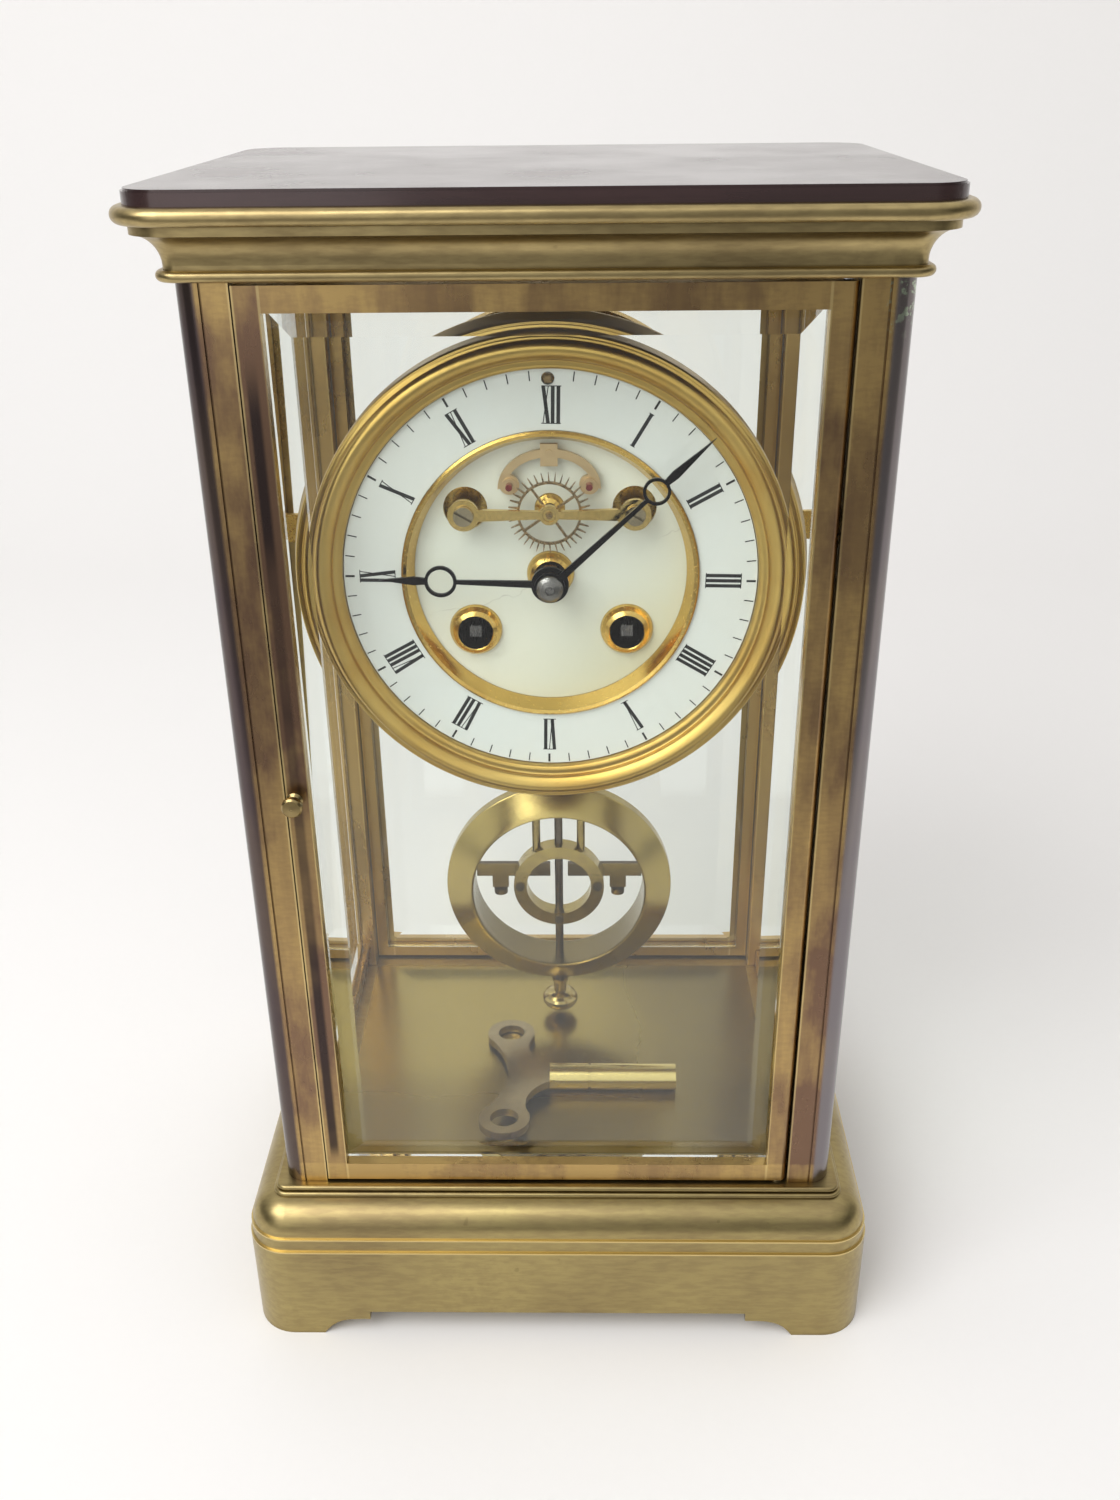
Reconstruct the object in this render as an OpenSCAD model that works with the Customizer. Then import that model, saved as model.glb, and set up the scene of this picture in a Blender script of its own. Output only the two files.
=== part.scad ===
// Four-glass mantel clock with a visible escapement and a compensated ring pendulum.
// Millimetres. X runs to the right, Y runs away from the dial's side, Z is up.
// The origin is at the middle of the base, on the surface that the clock stands on.

/* [Base] */
// Height of the plain block with the bracket feet
block_h = 29.6; // [24:0.2:36]
// Height of the moulding between the block and the pillars
moulding_h = 15; // [13:0.2:18]
// How far the block stands out beyond the pillars
base_overhang = 10.6; // [9.6:0.1:14]
// Height of the apron between the feet
apron_h = 8; // [6:0.2:12]
// Width of each bracket foot at its step
foot_w = 32; // [24:0.5:38]
// Wall of the hollow base
base_wall = 4; // [3:0.25:6]
// Thickness of the inner floor
floor_t = 1.5; // [1:0.1:2.5]

/* [Case] */
// Width over the corner pillars
case_w = 144; // [140:0.5:160]
// Depth over the corner pillars
case_d = 110.6; // [108:0.5:130]
// Height of the corner pillars
pillar_h = 228.4; // [222:0.5:250]
// Width of a pillar's front face
pillar_w = 11.3; // [10.5:0.1:12.5]
// Depth of a pillar from front to back
pillar_d = 11.6; // [10.5:0.1:14]
// Radius of a pillar's outer corner
pillar_r = 5; // [3:0.1:6]
// Thickness of a glass pane
glass_t = 3.8; // [3:0.1:4.4]
// Width of the bevel that shows on a pane
glass_bevel = 5; // [3:0.2:8]
// Height of the cornice
cornice_h = 14; // [13:0.2:18]
// Thickness of the top plate
top_t = 3; // [2:0.1:5]
// How far the top plate stands out beyond the pillars
top_overhang = 7.2; // [5:0.1:9]

/* [Doors] */
// Thickness of a door frame
door_t = 7; // [6.6:0.1:8]
// Width of a door's upright stiles
stile_w = 5.3; // [5:0.1:7]
// Height of a door's rails
rail_h = 5.2; // [5:0.1:8]
// Gap round a closed door
door_gap = 0.3; // [0.25:0.05:0.6]
// Gap under a door
sill_gap = 0.8; // [0.8:0.1:1.6]
// Distance of a door's pivot from its edge and its face
pivot_in = 2.2; // [2:0.05:2.4]
// Radius of a door's pivot pin
pivot_r = 0.75; // [0.6:0.05:0.8]
// Height of a door's knob above the floor
knob_h = 115; // [60:1:160]
// Radius of a door's knob
knob_r = 2.4; // [1.8:0.1:3.8]

/* [Dial] */
// Height of the dial's centre above the floor
dial_h = 161.4; // [158:0.2:166]
// Distance of the chapter ring's face behind the case's front
dial_setback = 20.3; // [20:0.1:22]
// Outer radius of the bezel
bezel_r = 54.3; // [53.8:0.1:55]
// Outer radius of the chapter ring
chapter_r = 46.4; // [46:0.1:47]
// Inner radius of the chapter ring
chapter_in_r = 33.5; // [33:0.1:34]
// Distance of a winding hole beside the centre
wind_x = 17.4; // [17.4:0.05:18]
// Distance of a winding hole below the centre
wind_drop = 13.5; // [13.2:0.1:14]
// Radius of a winding hole
wind_hole_r = 3.9; // [3:0.1:4.4]
// Length of the hour hand
hour_len = 38; // [34:0.5:42]
// Length of the minute hand
minute_len = 48.4; // [44:0.2:49]

/* [Movement] */
// Radius of the two movement plates
plate_r = 43; // [42.8:0.1:43.4]
// Thickness of the movement plates
plate_t = 2.5; // [2:0.1:3]
// Clear distance between the plates
plate_gap = 29.5; // [29:0.1:32]
// Distance of the escape wheel above the dial's centre
escape_rise = 15.3; // [15:0.1:16]
// Radius of the escape wheel over its teeth
escape_r = 9.1; // [8.4:0.1:9.2]
// Number of teeth on the escape wheel
escape_teeth = 36; // [30:1:40]
// Distance of the pallet arbor above the dial's centre
pallet_rise = 28.3; // [28:0.1:28.5]
// Radius of a barrel's drum
barrel_r = 15.6; // [14:0.1:15.8]
// Radius of an ordinary pivot
pivot_arbor_r = 0.7; // [0.5:0.05:0.8]
// Running clearance of a pivot in its hole
run = 0.05; // [0.03:0.01:0.08]
// Radius of the bell
bell_r = 31; // [28:0.5:33]
// Depth of the bell
bell_d = 16; // [12:0.5:17]

/* [Pendulum] */
// Distance of the bob's centre below the suspension
pendulum_len = 142.8; // [140:0.2:145]
// Height of the rating nut
nut_h = 11; // [9:0.2:14]
// Outer radius of the bob's ring
bob_r = 33; // [30:0.2:34]
// Inner radius of the bob's ring
bob_in_r = 25; // [23:0.2:26]
// Thickness of the bob's ring
bob_t = 12; // [9:0.2:13]
// Outer radius of the small middle ring
hub_r = 13.3; // [12:0.1:15]
// Inner radius of the small middle ring
hub_in_r = 9.5; // [8.5:0.1:11]
// Distance of an outer rod from the middle rod
rod_x = 6.5; // [5.5:0.1:7.5]
// Radius of the pendulum's rods
rod_r = 1.2; // [0.9:0.05:1.5]
// Radius of the rating nut
nut_r = 5.4; // [4:0.1:6]

/* [Key] */
// Length of the key's tube
key_tube_len = 36; // [30:0.5:44]
// Radius of the key's tube
key_tube_r = 3.75; // [3.4:0.05:4.2]
// Distance between the centres of the key's two wings
key_span = 42; // [34:0.5:44]
// Thickness of the key's wing plate
key_wing_t = 2.2; // [1.6:0.1:3]

/* [Hidden] */
$fn = 64;

// Colours of the finishes
aged_brass = [0.60, 0.50, 0.28];
dark_brass = [0.42, 0.30, 0.18];
gilt = [0.80, 0.62, 0.25];
dark_bronze = [0.22, 0.15, 0.14];
steel = [0.55, 0.56, 0.58];
blued = [0.05, 0.05, 0.07];
enamel = [0.95, 0.95, 0.92];
clear_glass = [0.80, 0.90, 0.88, 0.35];
ruby = [0.60, 0.10, 0.12];

// Gaps and small sizes that several pieces share
seat = 0.05;
air = 0.3;
trim_w = 0.5;

// Levels of the case
half_w = case_w / 2;
half_d = case_d / 2;
floor_z = block_h + moulding_h;
head_z = floor_z + pillar_h;
cornice_top = head_z + cornice_h;
corner_in = 2;
base_w = half_w + base_overhang;
base_d = half_d + base_overhang;
base_corner = 0.5;

// Doors
door_half = half_w - pillar_w - door_gap;
door_z0 = floor_z + sill_gap;
door_z1 = head_z - 0.8;
door_back = -half_d + door_t;
rebate_w = 2;
rebate_y = -half_d + 3;
light_half = door_half - stile_w;
light_z0 = door_z0 + rail_h;
light_z1 = door_z1 - rail_h;
pivot_x = door_half - pivot_in;
pivot_y = -half_d + pivot_in;
stile_round = pivot_in + 2 * door_gap / 3;
pivot_depth = 4.6;
latch_x = -door_half + 1.85;
latch_z = floor_z + knob_h;
spindle_r = 0.9;
latch_arm = 4.6;
latch_t = 1.4;
latch_half = 1.2;
latch_boss_r = 1.6;

// Side panes
side_out = 3.5;
side_in = side_out + glass_t + 2 * seat;
side_len = half_d - pillar_d;
side_sunk = 3;
side_rail_h = sill_gap + rail_h;

// Dial stack, counted backwards from the chapter ring's face
dial_z = floor_z + dial_h;
chapter_y = -half_d + dial_setback;
chapter_t = 1.5;
plate_face = chapter_y + chapter_t;
dial_plate_t = 2;
centre_y = plate_face + dial_plate_t;
centre_t = 1;
inner_r = chapter_in_r - seat;
inner_hole_r = chapter_in_r - 2.7;
bezel_front = chapter_y - 4.2;
bezel_back = chapter_y + 5;
bezel_wall = 1.4;
centre_r = chapter_in_r + 2.5;
cock_y = chapter_y - 2.4;
cock_t = 1.2;
cock_x = 18.8;
collet_w = 2.2;
collet_lip = 0.4;
collet_rise = 2.6;
centre_collet_r = 5.4;
escape_collet_r = 3.4;
escape_collet_rise = 1.2;
pallet_hole_r = 1.3;
cock_hole_r = 4.9;
cock_post_r = 3;
cock_screw_r = 1.25;
cock_screw_len = 5;
hour_y = chapter_y - 4.4;
minute_y = hour_y - 2;
hand_t = 0.7;
hour_turn = 88;
minute_turn = -47;

// Movement levels
front_y = chapter_y + 10;
inside_y = front_y + plate_t;
back_y = inside_y + plate_gap;
rear_y = back_y + plate_t;
pillar_ring = plate_r - 4;
foot_r = 2;
foot_ring = centre_r + 2 * foot_r;
arbor_r = pivot_arbor_r;

// Wheel and pinion counts, with the module of each pair
great_n = 72;
great_leaf = 12;
great_m = (wind_x - 1.5 * air) / (great_n / 2 + 0.85);
second_n = 60;
second_leaf = 10;
second_m = 0.42;
centre_n = 88;
third_leaf = 8;
centre_m = 0.3;
third_n = 84;
escape_leaf = 7;
third_m = 0.3;
pin_n = 54;
fly_leaf = 8;
pin_m = 0.36;
cannon_n = 12;
minute_n = 36;
cannon_m = 0.42;
minute_leaf = 10;
hour_n = 40;
motion_d = cannon_m * (cannon_n + minute_n) / 2;
hour_m = 2 * motion_d / (minute_leaf + hour_n);

// Where the circles round two points cross, on the side that turn gives
function cross_at(p, rp, q, rq, turn) =
    let(v = q - p, d = norm(v), a = (rp * rp - rq * rq + d * d) / (2 * d), h = sqrt(rp * rp - a * a))
    p + v * a / d + turn * h * [-v[1], v[0]] / d;
function bearing(p, q) = atan2(q[1] - p[1], q[0] - p[0]);
function along(p, r, a) = p + r * [cos(a), sin(a)];
function mesh(n, leaf, m) = m * (n + leaf) / 2;

// Places of the arbors in the dial's plane, from the dial's centre
centre_at = [0, 0];
escape_at = [0, escape_rise];
pallet_at = [0, pallet_rise];
going_at = [wind_x, -wind_drop];
strike_at = [-wind_x, -wind_drop];
second_at = cross_at(centre_at, mesh(second_n, second_leaf, second_m),
    going_at, mesh(great_n, great_leaf, great_m), 1);
third_at = cross_at(centre_at, mesh(centre_n, third_leaf, centre_m),
    escape_at, mesh(third_n, escape_leaf, third_m), 1);
strike_second_at = along(strike_at, mesh(great_n, great_leaf, great_m), 130);
pin_at = along(strike_second_at, mesh(second_n, second_leaf, second_m), 75);
fly_at = along(pin_at, mesh(pin_n, fly_leaf, pin_m), 40);
minute_at = [0, -motion_d];
hammer_at = [-36, -20];
regulator_at = [0, chapter_r - 2];
post_at = [-22, 8];

// Depths of the wheels between the plates
centre_wheel_y = inside_y + 1.5;
second_wheel_y = inside_y + 5;
third_wheel_y = inside_y + 7.2;
great_y = inside_y + 9;
wheel_t = 1.2;
great_t = 2;
drum_end = back_y - 1;
drum_wall = 1.4;

// Motion work in front of the front plate
minute_wheel_y = front_y - 1.9;
minute_pinion_y = front_y - 4.4;
hour_wheel_y = front_y - 4.2;

// Radii of the arbors and pipes
arbor_body_r = 1;
slim_r = 0.8;
winding_r = 2;
cannon_r = 1.9;
hour_pipe_r = 3;
regulator_hole_r = 1.4;

// Pendulum
swing_y = rear_y + 10.5;
swing_z = dial_z + pallet_rise;
bob_z = swing_z - pendulum_len;
nut_top = bob_z - bob_r - 1;
yoke_z = swing_z - 14;
hook_top = swing_z - 4.5;
rod_end = nut_top - nut_h + 1.5;
strip_t = 0.3;
strip_w = 6;
strip_up = 8;
strip_down = 9;
hook_slot = 1.3;
crutch_y = rear_y + 2.5;
crutch_t = 1.4;
crutch_drop = 34;

// Pallets
pallet_dx = 8.75;
pallet_dz = escape_rise + 5.9;
yoke_y = chapter_y + 1;
yoke_t = 1;
jewel_r = 0.75;

// Bell and hammer
bell_y = swing_y + 8;
bell_wall = 1.8;
hammer_head_r = 3;
hammer_angle = 180;
hammer_end = along(centre_at, bell_r + air + hammer_head_r, hammer_angle);

// Shared shapes

module box(x0, x1, y0, y1, z0, z1) {
    translate([x0, y0, z0]) cube([x1 - x0, y1 - y0, z1 - z0]);
}

// Cylinder along Y between two depths
module ycyl(r, y0, y1, at = [0, 0]) {
    translate([at[0], y0, dial_z + at[1]]) rotate([-90, 0, 0]) cylinder(r = r, h = y1 - y0);
}

// Outline in the dial's plane, made thick between two depths
module slab(y0, y1, at = [0, 0]) {
    translate([at[0], y1, dial_z + at[1]]) rotate([90, 0, 0]) linear_extrude(y1 - y0) children();
}

// Turned piece: pairs of radius and depth, spun round the dial's axis
module turned(pairs, at = [0, 0]) {
    translate([at[0], 0, dial_z + at[1]]) rotate([90, 0, 0])
        rotate_extrude() polygon([for (p = pairs) [p[0], -p[1]]]);
}

// Profile carried round a rectangle with rounded corners, x counted out from the corner's axis
module carry_round(hw, hd) {
    for (turn = [0, 180]) rotate(turn) {
        translate([hw, 0, 0]) rotate([90, 0, 0]) linear_extrude(2 * hd, center = true) children();
        translate([0, hd, 0]) rotate([90, 0, 90]) linear_extrude(2 * hw, center = true) children();
        translate([hw, hd, 0]) rotate_extrude(angle = 90) children();
        translate([-hw, hd, 0]) rotate(90) rotate_extrude(angle = 90) children();
    }
}

// Block with rounded upright corners
module rounded_block(hw, hd, r, z0, z1) {
    box(-hw + r, hw - r, -hd, hd, z0, z1);
    box(-hw, hw, -hd + r, hd - r, z0, z1);
    for (x = [-1, 1], y = [-1, 1])
        translate([x * (hw - r), y * (hd - r), z0]) cylinder(r = r, h = z1 - z0);
}

// Wheel with straight-sided teeth, the first tooth's middle on the bearing turn
module toothed(n, m, turn, add = 0.85, ded = 1.25, tip = 0.2, root = 0.46) {
    r1 = m * (n / 2 + add);
    r0 = m * (n / 2 - ded);
    step = 360 / n;
    polygon([for (i = [0 : n - 1], c = [[r0, -root], [r1, -tip], [r1, tip], [r0, root]])
        let(a = turn + step * (i + c[1] / 2)) c[0] * [cos(a), sin(a)]]);
}

// Wheel that drives the pinion at the point other
module wheel(n, m, at, other, y, spokes = 4, hub = 2.4, t = wheel_t) {
    rim = m * (n / 2 - 1.25) - 1.4;
    slab(y, y + t, at) difference() {
        toothed(n, m, bearing(at, other));
        if (spokes > 0) difference() {
            circle(rim);
            circle(hub);
            for (k = [0 : spokes - 1]) rotate(k * 360 / spokes + 20)
                translate([0, -0.6]) square([rim + 1, 1.2]);
        }
    }
}

// Pinion that the wheel at the point other drives
module pinion(n, m, at, other, y0, y1) {
    slab(y0, y1, at) toothed(n, m, bearing(at, other) + 180 / n, 0.7, 1.35, 0.16, 0.3);
}

// Arbor between the plates, with its pivots in their holes
module arbor(at, r = arbor_body_r) {
    ycyl(r, inside_y + air, back_y - air, at);
    ycyl(arbor_r, front_y + 0.2, rear_y - 0.2, at);
}

// Pane with a bevel on its front, between the depths y0 and y0 + glass_t
module bevelled_pane(hw, z0, z1, sunk, y0) {
    thin = 0.45 * glass_t;
    flat = sunk + glass_bevel;
    intersection() {
        translate([0, 0, z0]) linear_extrude(z1 - z0) polygon([[-hw, y0 + thin], [-hw + sunk, y0 + thin],
            [-hw + flat, y0], [hw - flat, y0], [hw - sunk, y0 + thin], [hw, y0 + thin],
            [hw, y0 + glass_t], [-hw, y0 + glass_t]]);
        rotate([90, 0, 90]) linear_extrude(2 * hw, center = true) polygon([[y0 + thin, z0],
            [y0 + thin, z0 + sunk], [y0, z0 + flat], [y0, z1 - flat], [y0 + thin, z1 - sunk],
            [y0 + thin, z1], [y0 + glass_t, z1], [y0 + glass_t, z0]]);
    }
}

// Case

// Gap between two feet: flat apron, a small step, then a curve down to the floor
module apron_gap(half) {
    step_w = 0.4 * foot_w;
    step_h = 0.66 * apron_h;
    rise = [for (i = [0 : 10]) [half + step_w * i / 10, step_h * (1 - pow(i / 10, 4))]];
    polygon(concat([[-half, apron_h], [half, apron_h]], rise,
        [[half + step_w, -1], [-half - step_w, -1]],
        [for (i = [10 : -1 : 0]) [-rise[i][0], rise[i][1]]]));
}

module base_plinth() {
    corner = base_overhang + base_corner;
    color(aged_brass) difference() {
        rounded_block(base_w, base_d, corner, 0, block_h);
        rotate([90, 0, 0]) linear_extrude(2 * base_d + 2, center = true) apron_gap(base_w - foot_w);
        rotate([90, 0, 90]) linear_extrude(2 * base_w + 2, center = true) apron_gap(base_d - foot_w);
        box(-half_w, half_w, -half_d, half_d, apron_h + base_wall, block_h + 1);
    }
}

// Fillet, cushion and two fine beads, x counted out from the pillars' faces
module base_profile() {
    z0 = block_h;
    ledge = 0.5;
    fillet_x = base_overhang - ledge;
    fillet_h = 4;
    cushion_r = 8.4;
    cushion_x = fillet_x - ledge - cushion_r;
    bead_r = 0.75;
    bead_x = 2.4;
    top_bead_x = 1.6;
    top_x = 1.4;
    translate([base_corner, 0]) {
        translate([-base_corner, z0]) square([fillet_x + base_corner, fillet_h]);
        intersection() {
            translate([-base_corner, z0]) square([base_overhang, fillet_h + cushion_r]);
            translate([cushion_x, z0 + fillet_h]) circle(cushion_r);
        }
        translate([-base_corner, z0]) square([bead_x + base_corner, moulding_h - 2 * bead_r]);
        translate([bead_x, floor_z - 3 * bead_r]) circle(bead_r);
        translate([-base_corner, z0]) square([top_bead_x + base_corner, moulding_h - bead_r]);
        translate([top_bead_x, floor_z - bead_r]) circle(bead_r);
        translate([-base_corner, z0]) square([top_x + base_corner, moulding_h]);
    }
}

module base_moulding() {
    hw = half_w - base_corner;
    hd = half_d - base_corner;
    color(aged_brass) difference() {
        union() {
            carry_round(hw, hd) base_profile();
            box(-hw, hw, -hd, hd, block_h, floor_z);
        }
        box(-hw + base_wall, hw - base_wall, -hd + base_wall, hd - base_wall,
            block_h - 1, floor_z - base_wall);
        box(-door_half + air, door_half - air, -side_len, side_len, floor_z - floor_t, floor_z + 1);
    }
}

module floor_plate() {
    color(aged_brass) box(-door_half + air + seat, door_half - air - seat, -side_len + seat, side_len - seat,
        floor_z - floor_t, floor_z);
}

// Pillar section, u in from the outer side and v in from the outer front
module pillar_section() {
    groove = pillar_r + 0.4;
    difference() {
        union() {
            translate([pillar_r, 0]) square([pillar_w - pillar_r, pillar_d]);
            translate([0, pillar_r]) square([pillar_w, pillar_d - pillar_r]);
            translate([pillar_r, pillar_r]) circle(pillar_r);
        }
        translate([groove, -1]) square([trim_w, 1 + trim_w]);
        translate([-1, groove]) square([1 + trim_w, trim_w]);
        translate([side_out, pillar_d - side_sunk]) square([side_in - side_out, side_sunk + 1]);
    }
}

module pillar_pair() {
    color(dark_brass) difference() {
        for (side = [0, 1]) mirror([side, 0, 0])
            translate([-half_w, -half_d, floor_z]) linear_extrude(pillar_h) pillar_section();
        box(latch_x - norm([latch_arm, latch_half]) - air, -door_half,
            door_back - air, door_back + latch_t + 2 * air,
            latch_z - latch_arm - air, latch_z + latch_half + air);
    }
}

module front_pillars() { pillar_pair(); }

module rear_pillars() { rotate(180) pillar_pair(); }

// Bead, cavetto, fillet and torus, x counted out from the pillars' faces
module cornice_profile() {
    bead_r = 1.1;
    bead_x = 1.7;
    neck_x = 1.2;
    torus_r = 1.7;
    torus_x = 8;
    fillet_x = 6.7;
    fillet_h = 1.8;
    neck_h = 0.8;
    cove_edge = 0.8;
    cove_z = head_z + 2 * bead_r + neck_h;
    fillet_z = cornice_top - 2 * torus_r - fillet_h;
    cove_r = fillet_z - cove_z;
    translate([corner_in, 0]) {
        translate([-corner_in, head_z]) square([neck_x + corner_in, cornice_h]);
        translate([-corner_in, head_z]) square([bead_x + corner_in, 2 * bead_r]);
        translate([bead_x, head_z + bead_r]) circle(bead_r);
        difference() {
            translate([-corner_in, cove_z]) square([neck_x + cove_r - cove_edge + corner_in, cove_r]);
            translate([neck_x + cove_r, cove_z]) circle(cove_r);
        }
        translate([-corner_in, fillet_z]) square([fillet_x + corner_in, cornice_top - fillet_z]);
        translate([-corner_in, cornice_top - 2 * torus_r]) square([torus_x + corner_in, 2 * torus_r]);
        translate([torus_x, cornice_top - torus_r]) circle(torus_r);
    }
}

module cornice() {
    hw = half_w - corner_in;
    hd = half_d - corner_in;
    color(aged_brass) difference() {
        union() {
            carry_round(hw, hd) cornice_profile();
            box(-hw, hw, -hd, hd, head_z, cornice_top);
        }
        box(-half_w + pillar_w, half_w - pillar_w, -side_len, side_len, head_z - 1, cornice_top + 1);
    }
}

module top_plate() {
    edge = 0.5;
    hw = half_w + top_overhang;
    hd = half_d + top_overhang;
    corner = top_overhang + corner_in;
    step_z = cornice_top + top_t - edge;
    color(dark_bronze) {
        rounded_block(hw, hd, corner, cornice_top, step_z);
        rounded_block(hw - edge, hd - edge, corner - edge, step_z, cornice_top + top_t);
    }
}

module side_rails() {
    lip = 1.4;
    color(dark_brass) for (side = [0, 1]) mirror([side, 0, 0]) difference() {
        x0 = -half_w + side_out - lip;
        x1 = -half_w + side_in + lip;
        union() {
            box(x0, x1, -side_len, side_len, floor_z, floor_z + side_rail_h);
            box(x0, x1, -side_len, side_len, head_z - side_rail_h, head_z);
        }
        box(-half_w + side_out, -half_w + side_in, -half_d, half_d,
            floor_z + side_rail_h - rebate_w, head_z - side_rail_h + rebate_w);
    }
}

module side_glasses() {
    color(clear_glass) for (side = [90, -90]) rotate(side)
        bevelled_pane(side_len + side_sunk - seat, floor_z + side_rail_h - rebate_w,
            head_z - side_rail_h + rebate_w - seat, side_sunk, -half_w + side_out + seat);
}

// Doors, drawn for the front and turned round for the back

module hinge_pins() {
    washer_r = 1.8;
    washer_t = 0.5;
    upper_z = door_z1 - pivot_depth + air;
    color(steel) for (turn = [0, 180]) rotate(turn) translate([pivot_x, pivot_y, 0]) {
        translate([0, 0, floor_z]) cylinder(r = washer_r, h = washer_t);
        translate([0, 0, floor_z]) cylinder(r = pivot_r, h = sill_gap + pivot_depth - air);
        translate([0, 0, head_z - washer_t]) cylinder(r = washer_r, h = washer_t);
        translate([0, 0, upper_z]) cylinder(r = pivot_r, h = head_z - upper_z);
    }
}

module door_frame() {
    difference() {
        box(-door_half, door_half, -half_d, door_back, door_z0, door_z1);
        box(-light_half, light_half, -half_d - 1, door_back + 1, light_z0, light_z1);
        box(-light_half - rebate_w, light_half + rebate_w, rebate_y, door_back + 1,
            light_z0 - rebate_w, light_z1 + rebate_w);
        difference() {
            box(pivot_x, door_half + 1, -half_d - 1, pivot_y, door_z0 - 1, door_z1 + 1);
            translate([pivot_x, pivot_y, door_z0 - 2]) cylinder(r = stile_round, h = door_z1 - door_z0 + 4);
        }
        for (z = [door_z0 - 1, door_z1 - pivot_depth]) translate([pivot_x, pivot_y, z])
            cylinder(r = pivot_r + run, h = pivot_depth + 1);
        translate([latch_x, -half_d - 1, latch_z]) rotate([-90, 0, 0])
            cylinder(r = spindle_r + run, h = door_t + 2);
    }
}

module door_glass() {
    bevelled_pane(light_half + rebate_w - seat, light_z0 - rebate_w + seat, light_z1 + rebate_w - seat,
        rebate_w, rebate_y);
}

// Turned knob on a spindle, with the small tongue behind the stile
module door_latch() {
    stem = 0.55 * knob_r;
    flare = 0.6;
    stem_len = 1.5;
    edge = 0.4;
    knob_near = stem_len + flare;
    knob_far = knob_near + 2;
    color(gilt) translate([latch_x, -half_d - seat, latch_z]) rotate([90, 0, 0]) rotate_extrude() polygon([
        [0, 0], [stem + flare, 0], [stem, flare], [stem, stem_len], [knob_r - edge, knob_near],
        [knob_r, knob_near + edge], [knob_r, knob_far - edge], [knob_r - edge, knob_far],
        [0, knob_far + edge / 2]]);
    color(steel) {
        translate([latch_x, -half_d - 2 * seat, latch_z]) rotate([-90, 0, 0])
            cylinder(r = spindle_r, h = door_t + air + latch_t);
        translate([latch_x, door_back + air / 2, latch_z]) rotate([-90, 0, 0])
            cylinder(r = latch_boss_r, h = latch_t);
        box(latch_x - latch_half, latch_x + latch_half, door_back + air / 2, door_back + air / 2 + latch_t,
            latch_z - latch_arm, latch_z);
    }
}

module front_door_frame() { color(dark_brass) door_frame(); }

module front_door_glass() { color(clear_glass) door_glass(); }

module front_latch() { door_latch(); }

module rear_door_frame() { color(dark_brass) rotate(180) door_frame(); }

module rear_door_glass() { color(clear_glass) rotate(180) door_glass(); }

module rear_latch() { rotate(180) door_latch(); }

// Straps from the rear pillars forward to the back plate
module movement_brackets() {
    strap_h = 8;
    strap_t = 1.5;
    strap_z = dial_z - 16;
    leg_x = plate_r - 3.5;
    end_x = half_w - side_in - strap_t;
    foot_x = leg_x - 3;
    color(gilt) for (side = [0, 1]) mirror([side, 0, 0]) {
        box(leg_x, end_x, side_len - strap_t, side_len, strap_z, strap_z + strap_h);
        box(leg_x, leg_x + strap_t, rear_y, side_len, strap_z, strap_z + strap_h);
        box(foot_x, leg_x + strap_t, rear_y, rear_y + strap_t, strap_z, strap_z + strap_h);
    }
}

// Dial

module bezel() {
    lip_r = chapter_r + 0.2;
    back_r = bezel_r - bezel_wall;
    w = bezel_r - lip_r;
    color(gilt) turned([[lip_r, plate_face], [lip_r, chapter_y - 0.9], [lip_r + 0.09 * w, chapter_y - 1.7],
        [lip_r + 0.25 * w, chapter_y - 1.9], [lip_r + 0.3 * w, chapter_y - 3.1],
        [lip_r + 0.47 * w, bezel_front + 0.2], [lip_r + 0.63 * w, bezel_front],
        [lip_r + 0.75 * w, bezel_front + 0.5], [lip_r + 0.8 * w, bezel_front + 1.6],
        [lip_r + 0.91 * w, bezel_front + 1.9], [bezel_r, bezel_front + 2.7], [bezel_r, bezel_back],
        [back_r, bezel_back], [back_r, plate_face]]);
}

module dial_plate() {
    color(gilt) difference() {
        union() {
            ycyl(bezel_r - bezel_wall - seat, plate_face, centre_y);
            for (a = [45 : 90 : 315]) ycyl(foot_r, centre_y - seat, front_y, along(centre_at, foot_ring, a));
        }
        ycyl(chapter_in_r, plate_face - 1, centre_y + 1);
        ycyl(regulator_hole_r, plate_face - 1, centre_y + 1, regulator_at);
    }
}

module chapter_ring() {
    color(enamel) difference() {
        ycyl(chapter_r, chapter_y, plate_face);
        ycyl(chapter_in_r, chapter_y - 1, plate_face + 1);
        ycyl(regulator_hole_r, chapter_y - 1, plate_face + 1, regulator_at);
    }
}

module inner_ring() {
    edge = 0.6;
    crest = 1;
    crest_w = 0.7;
    crest_r = inner_r - 0.5;
    color(gilt) turned([[inner_r, centre_y], [inner_r, chapter_y - edge], [crest_r, chapter_y - crest],
        [crest_r - crest_w, chapter_y - 0.8 * crest], [inner_hole_r, centre_y - edge],
        [inner_hole_r, centre_y]]);
}

module dial_centre() {
    color(enamel) difference() {
        ycyl(centre_r, centre_y, centre_y + centre_t);
        for (at = [going_at, strike_at])
            ycyl(wind_hole_r + collet_w - collet_lip, centre_y - 1, centre_y + centre_t + 1, at);
        ycyl(centre_collet_r - collet_lip, centre_y - 1, centre_y + centre_t + 1);
        ycyl(escape_collet_r - collet_lip, centre_y - 1, centre_y + centre_t + 1, escape_at);
        ycyl(pallet_hole_r, centre_y - 1, centre_y + centre_t + 1, pallet_at);
        for (x = [-cock_x, cock_x])
            ycyl(cock_hole_r, centre_y - 1, centre_y + centre_t + 1, [x, escape_rise]);
    }
}

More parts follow.
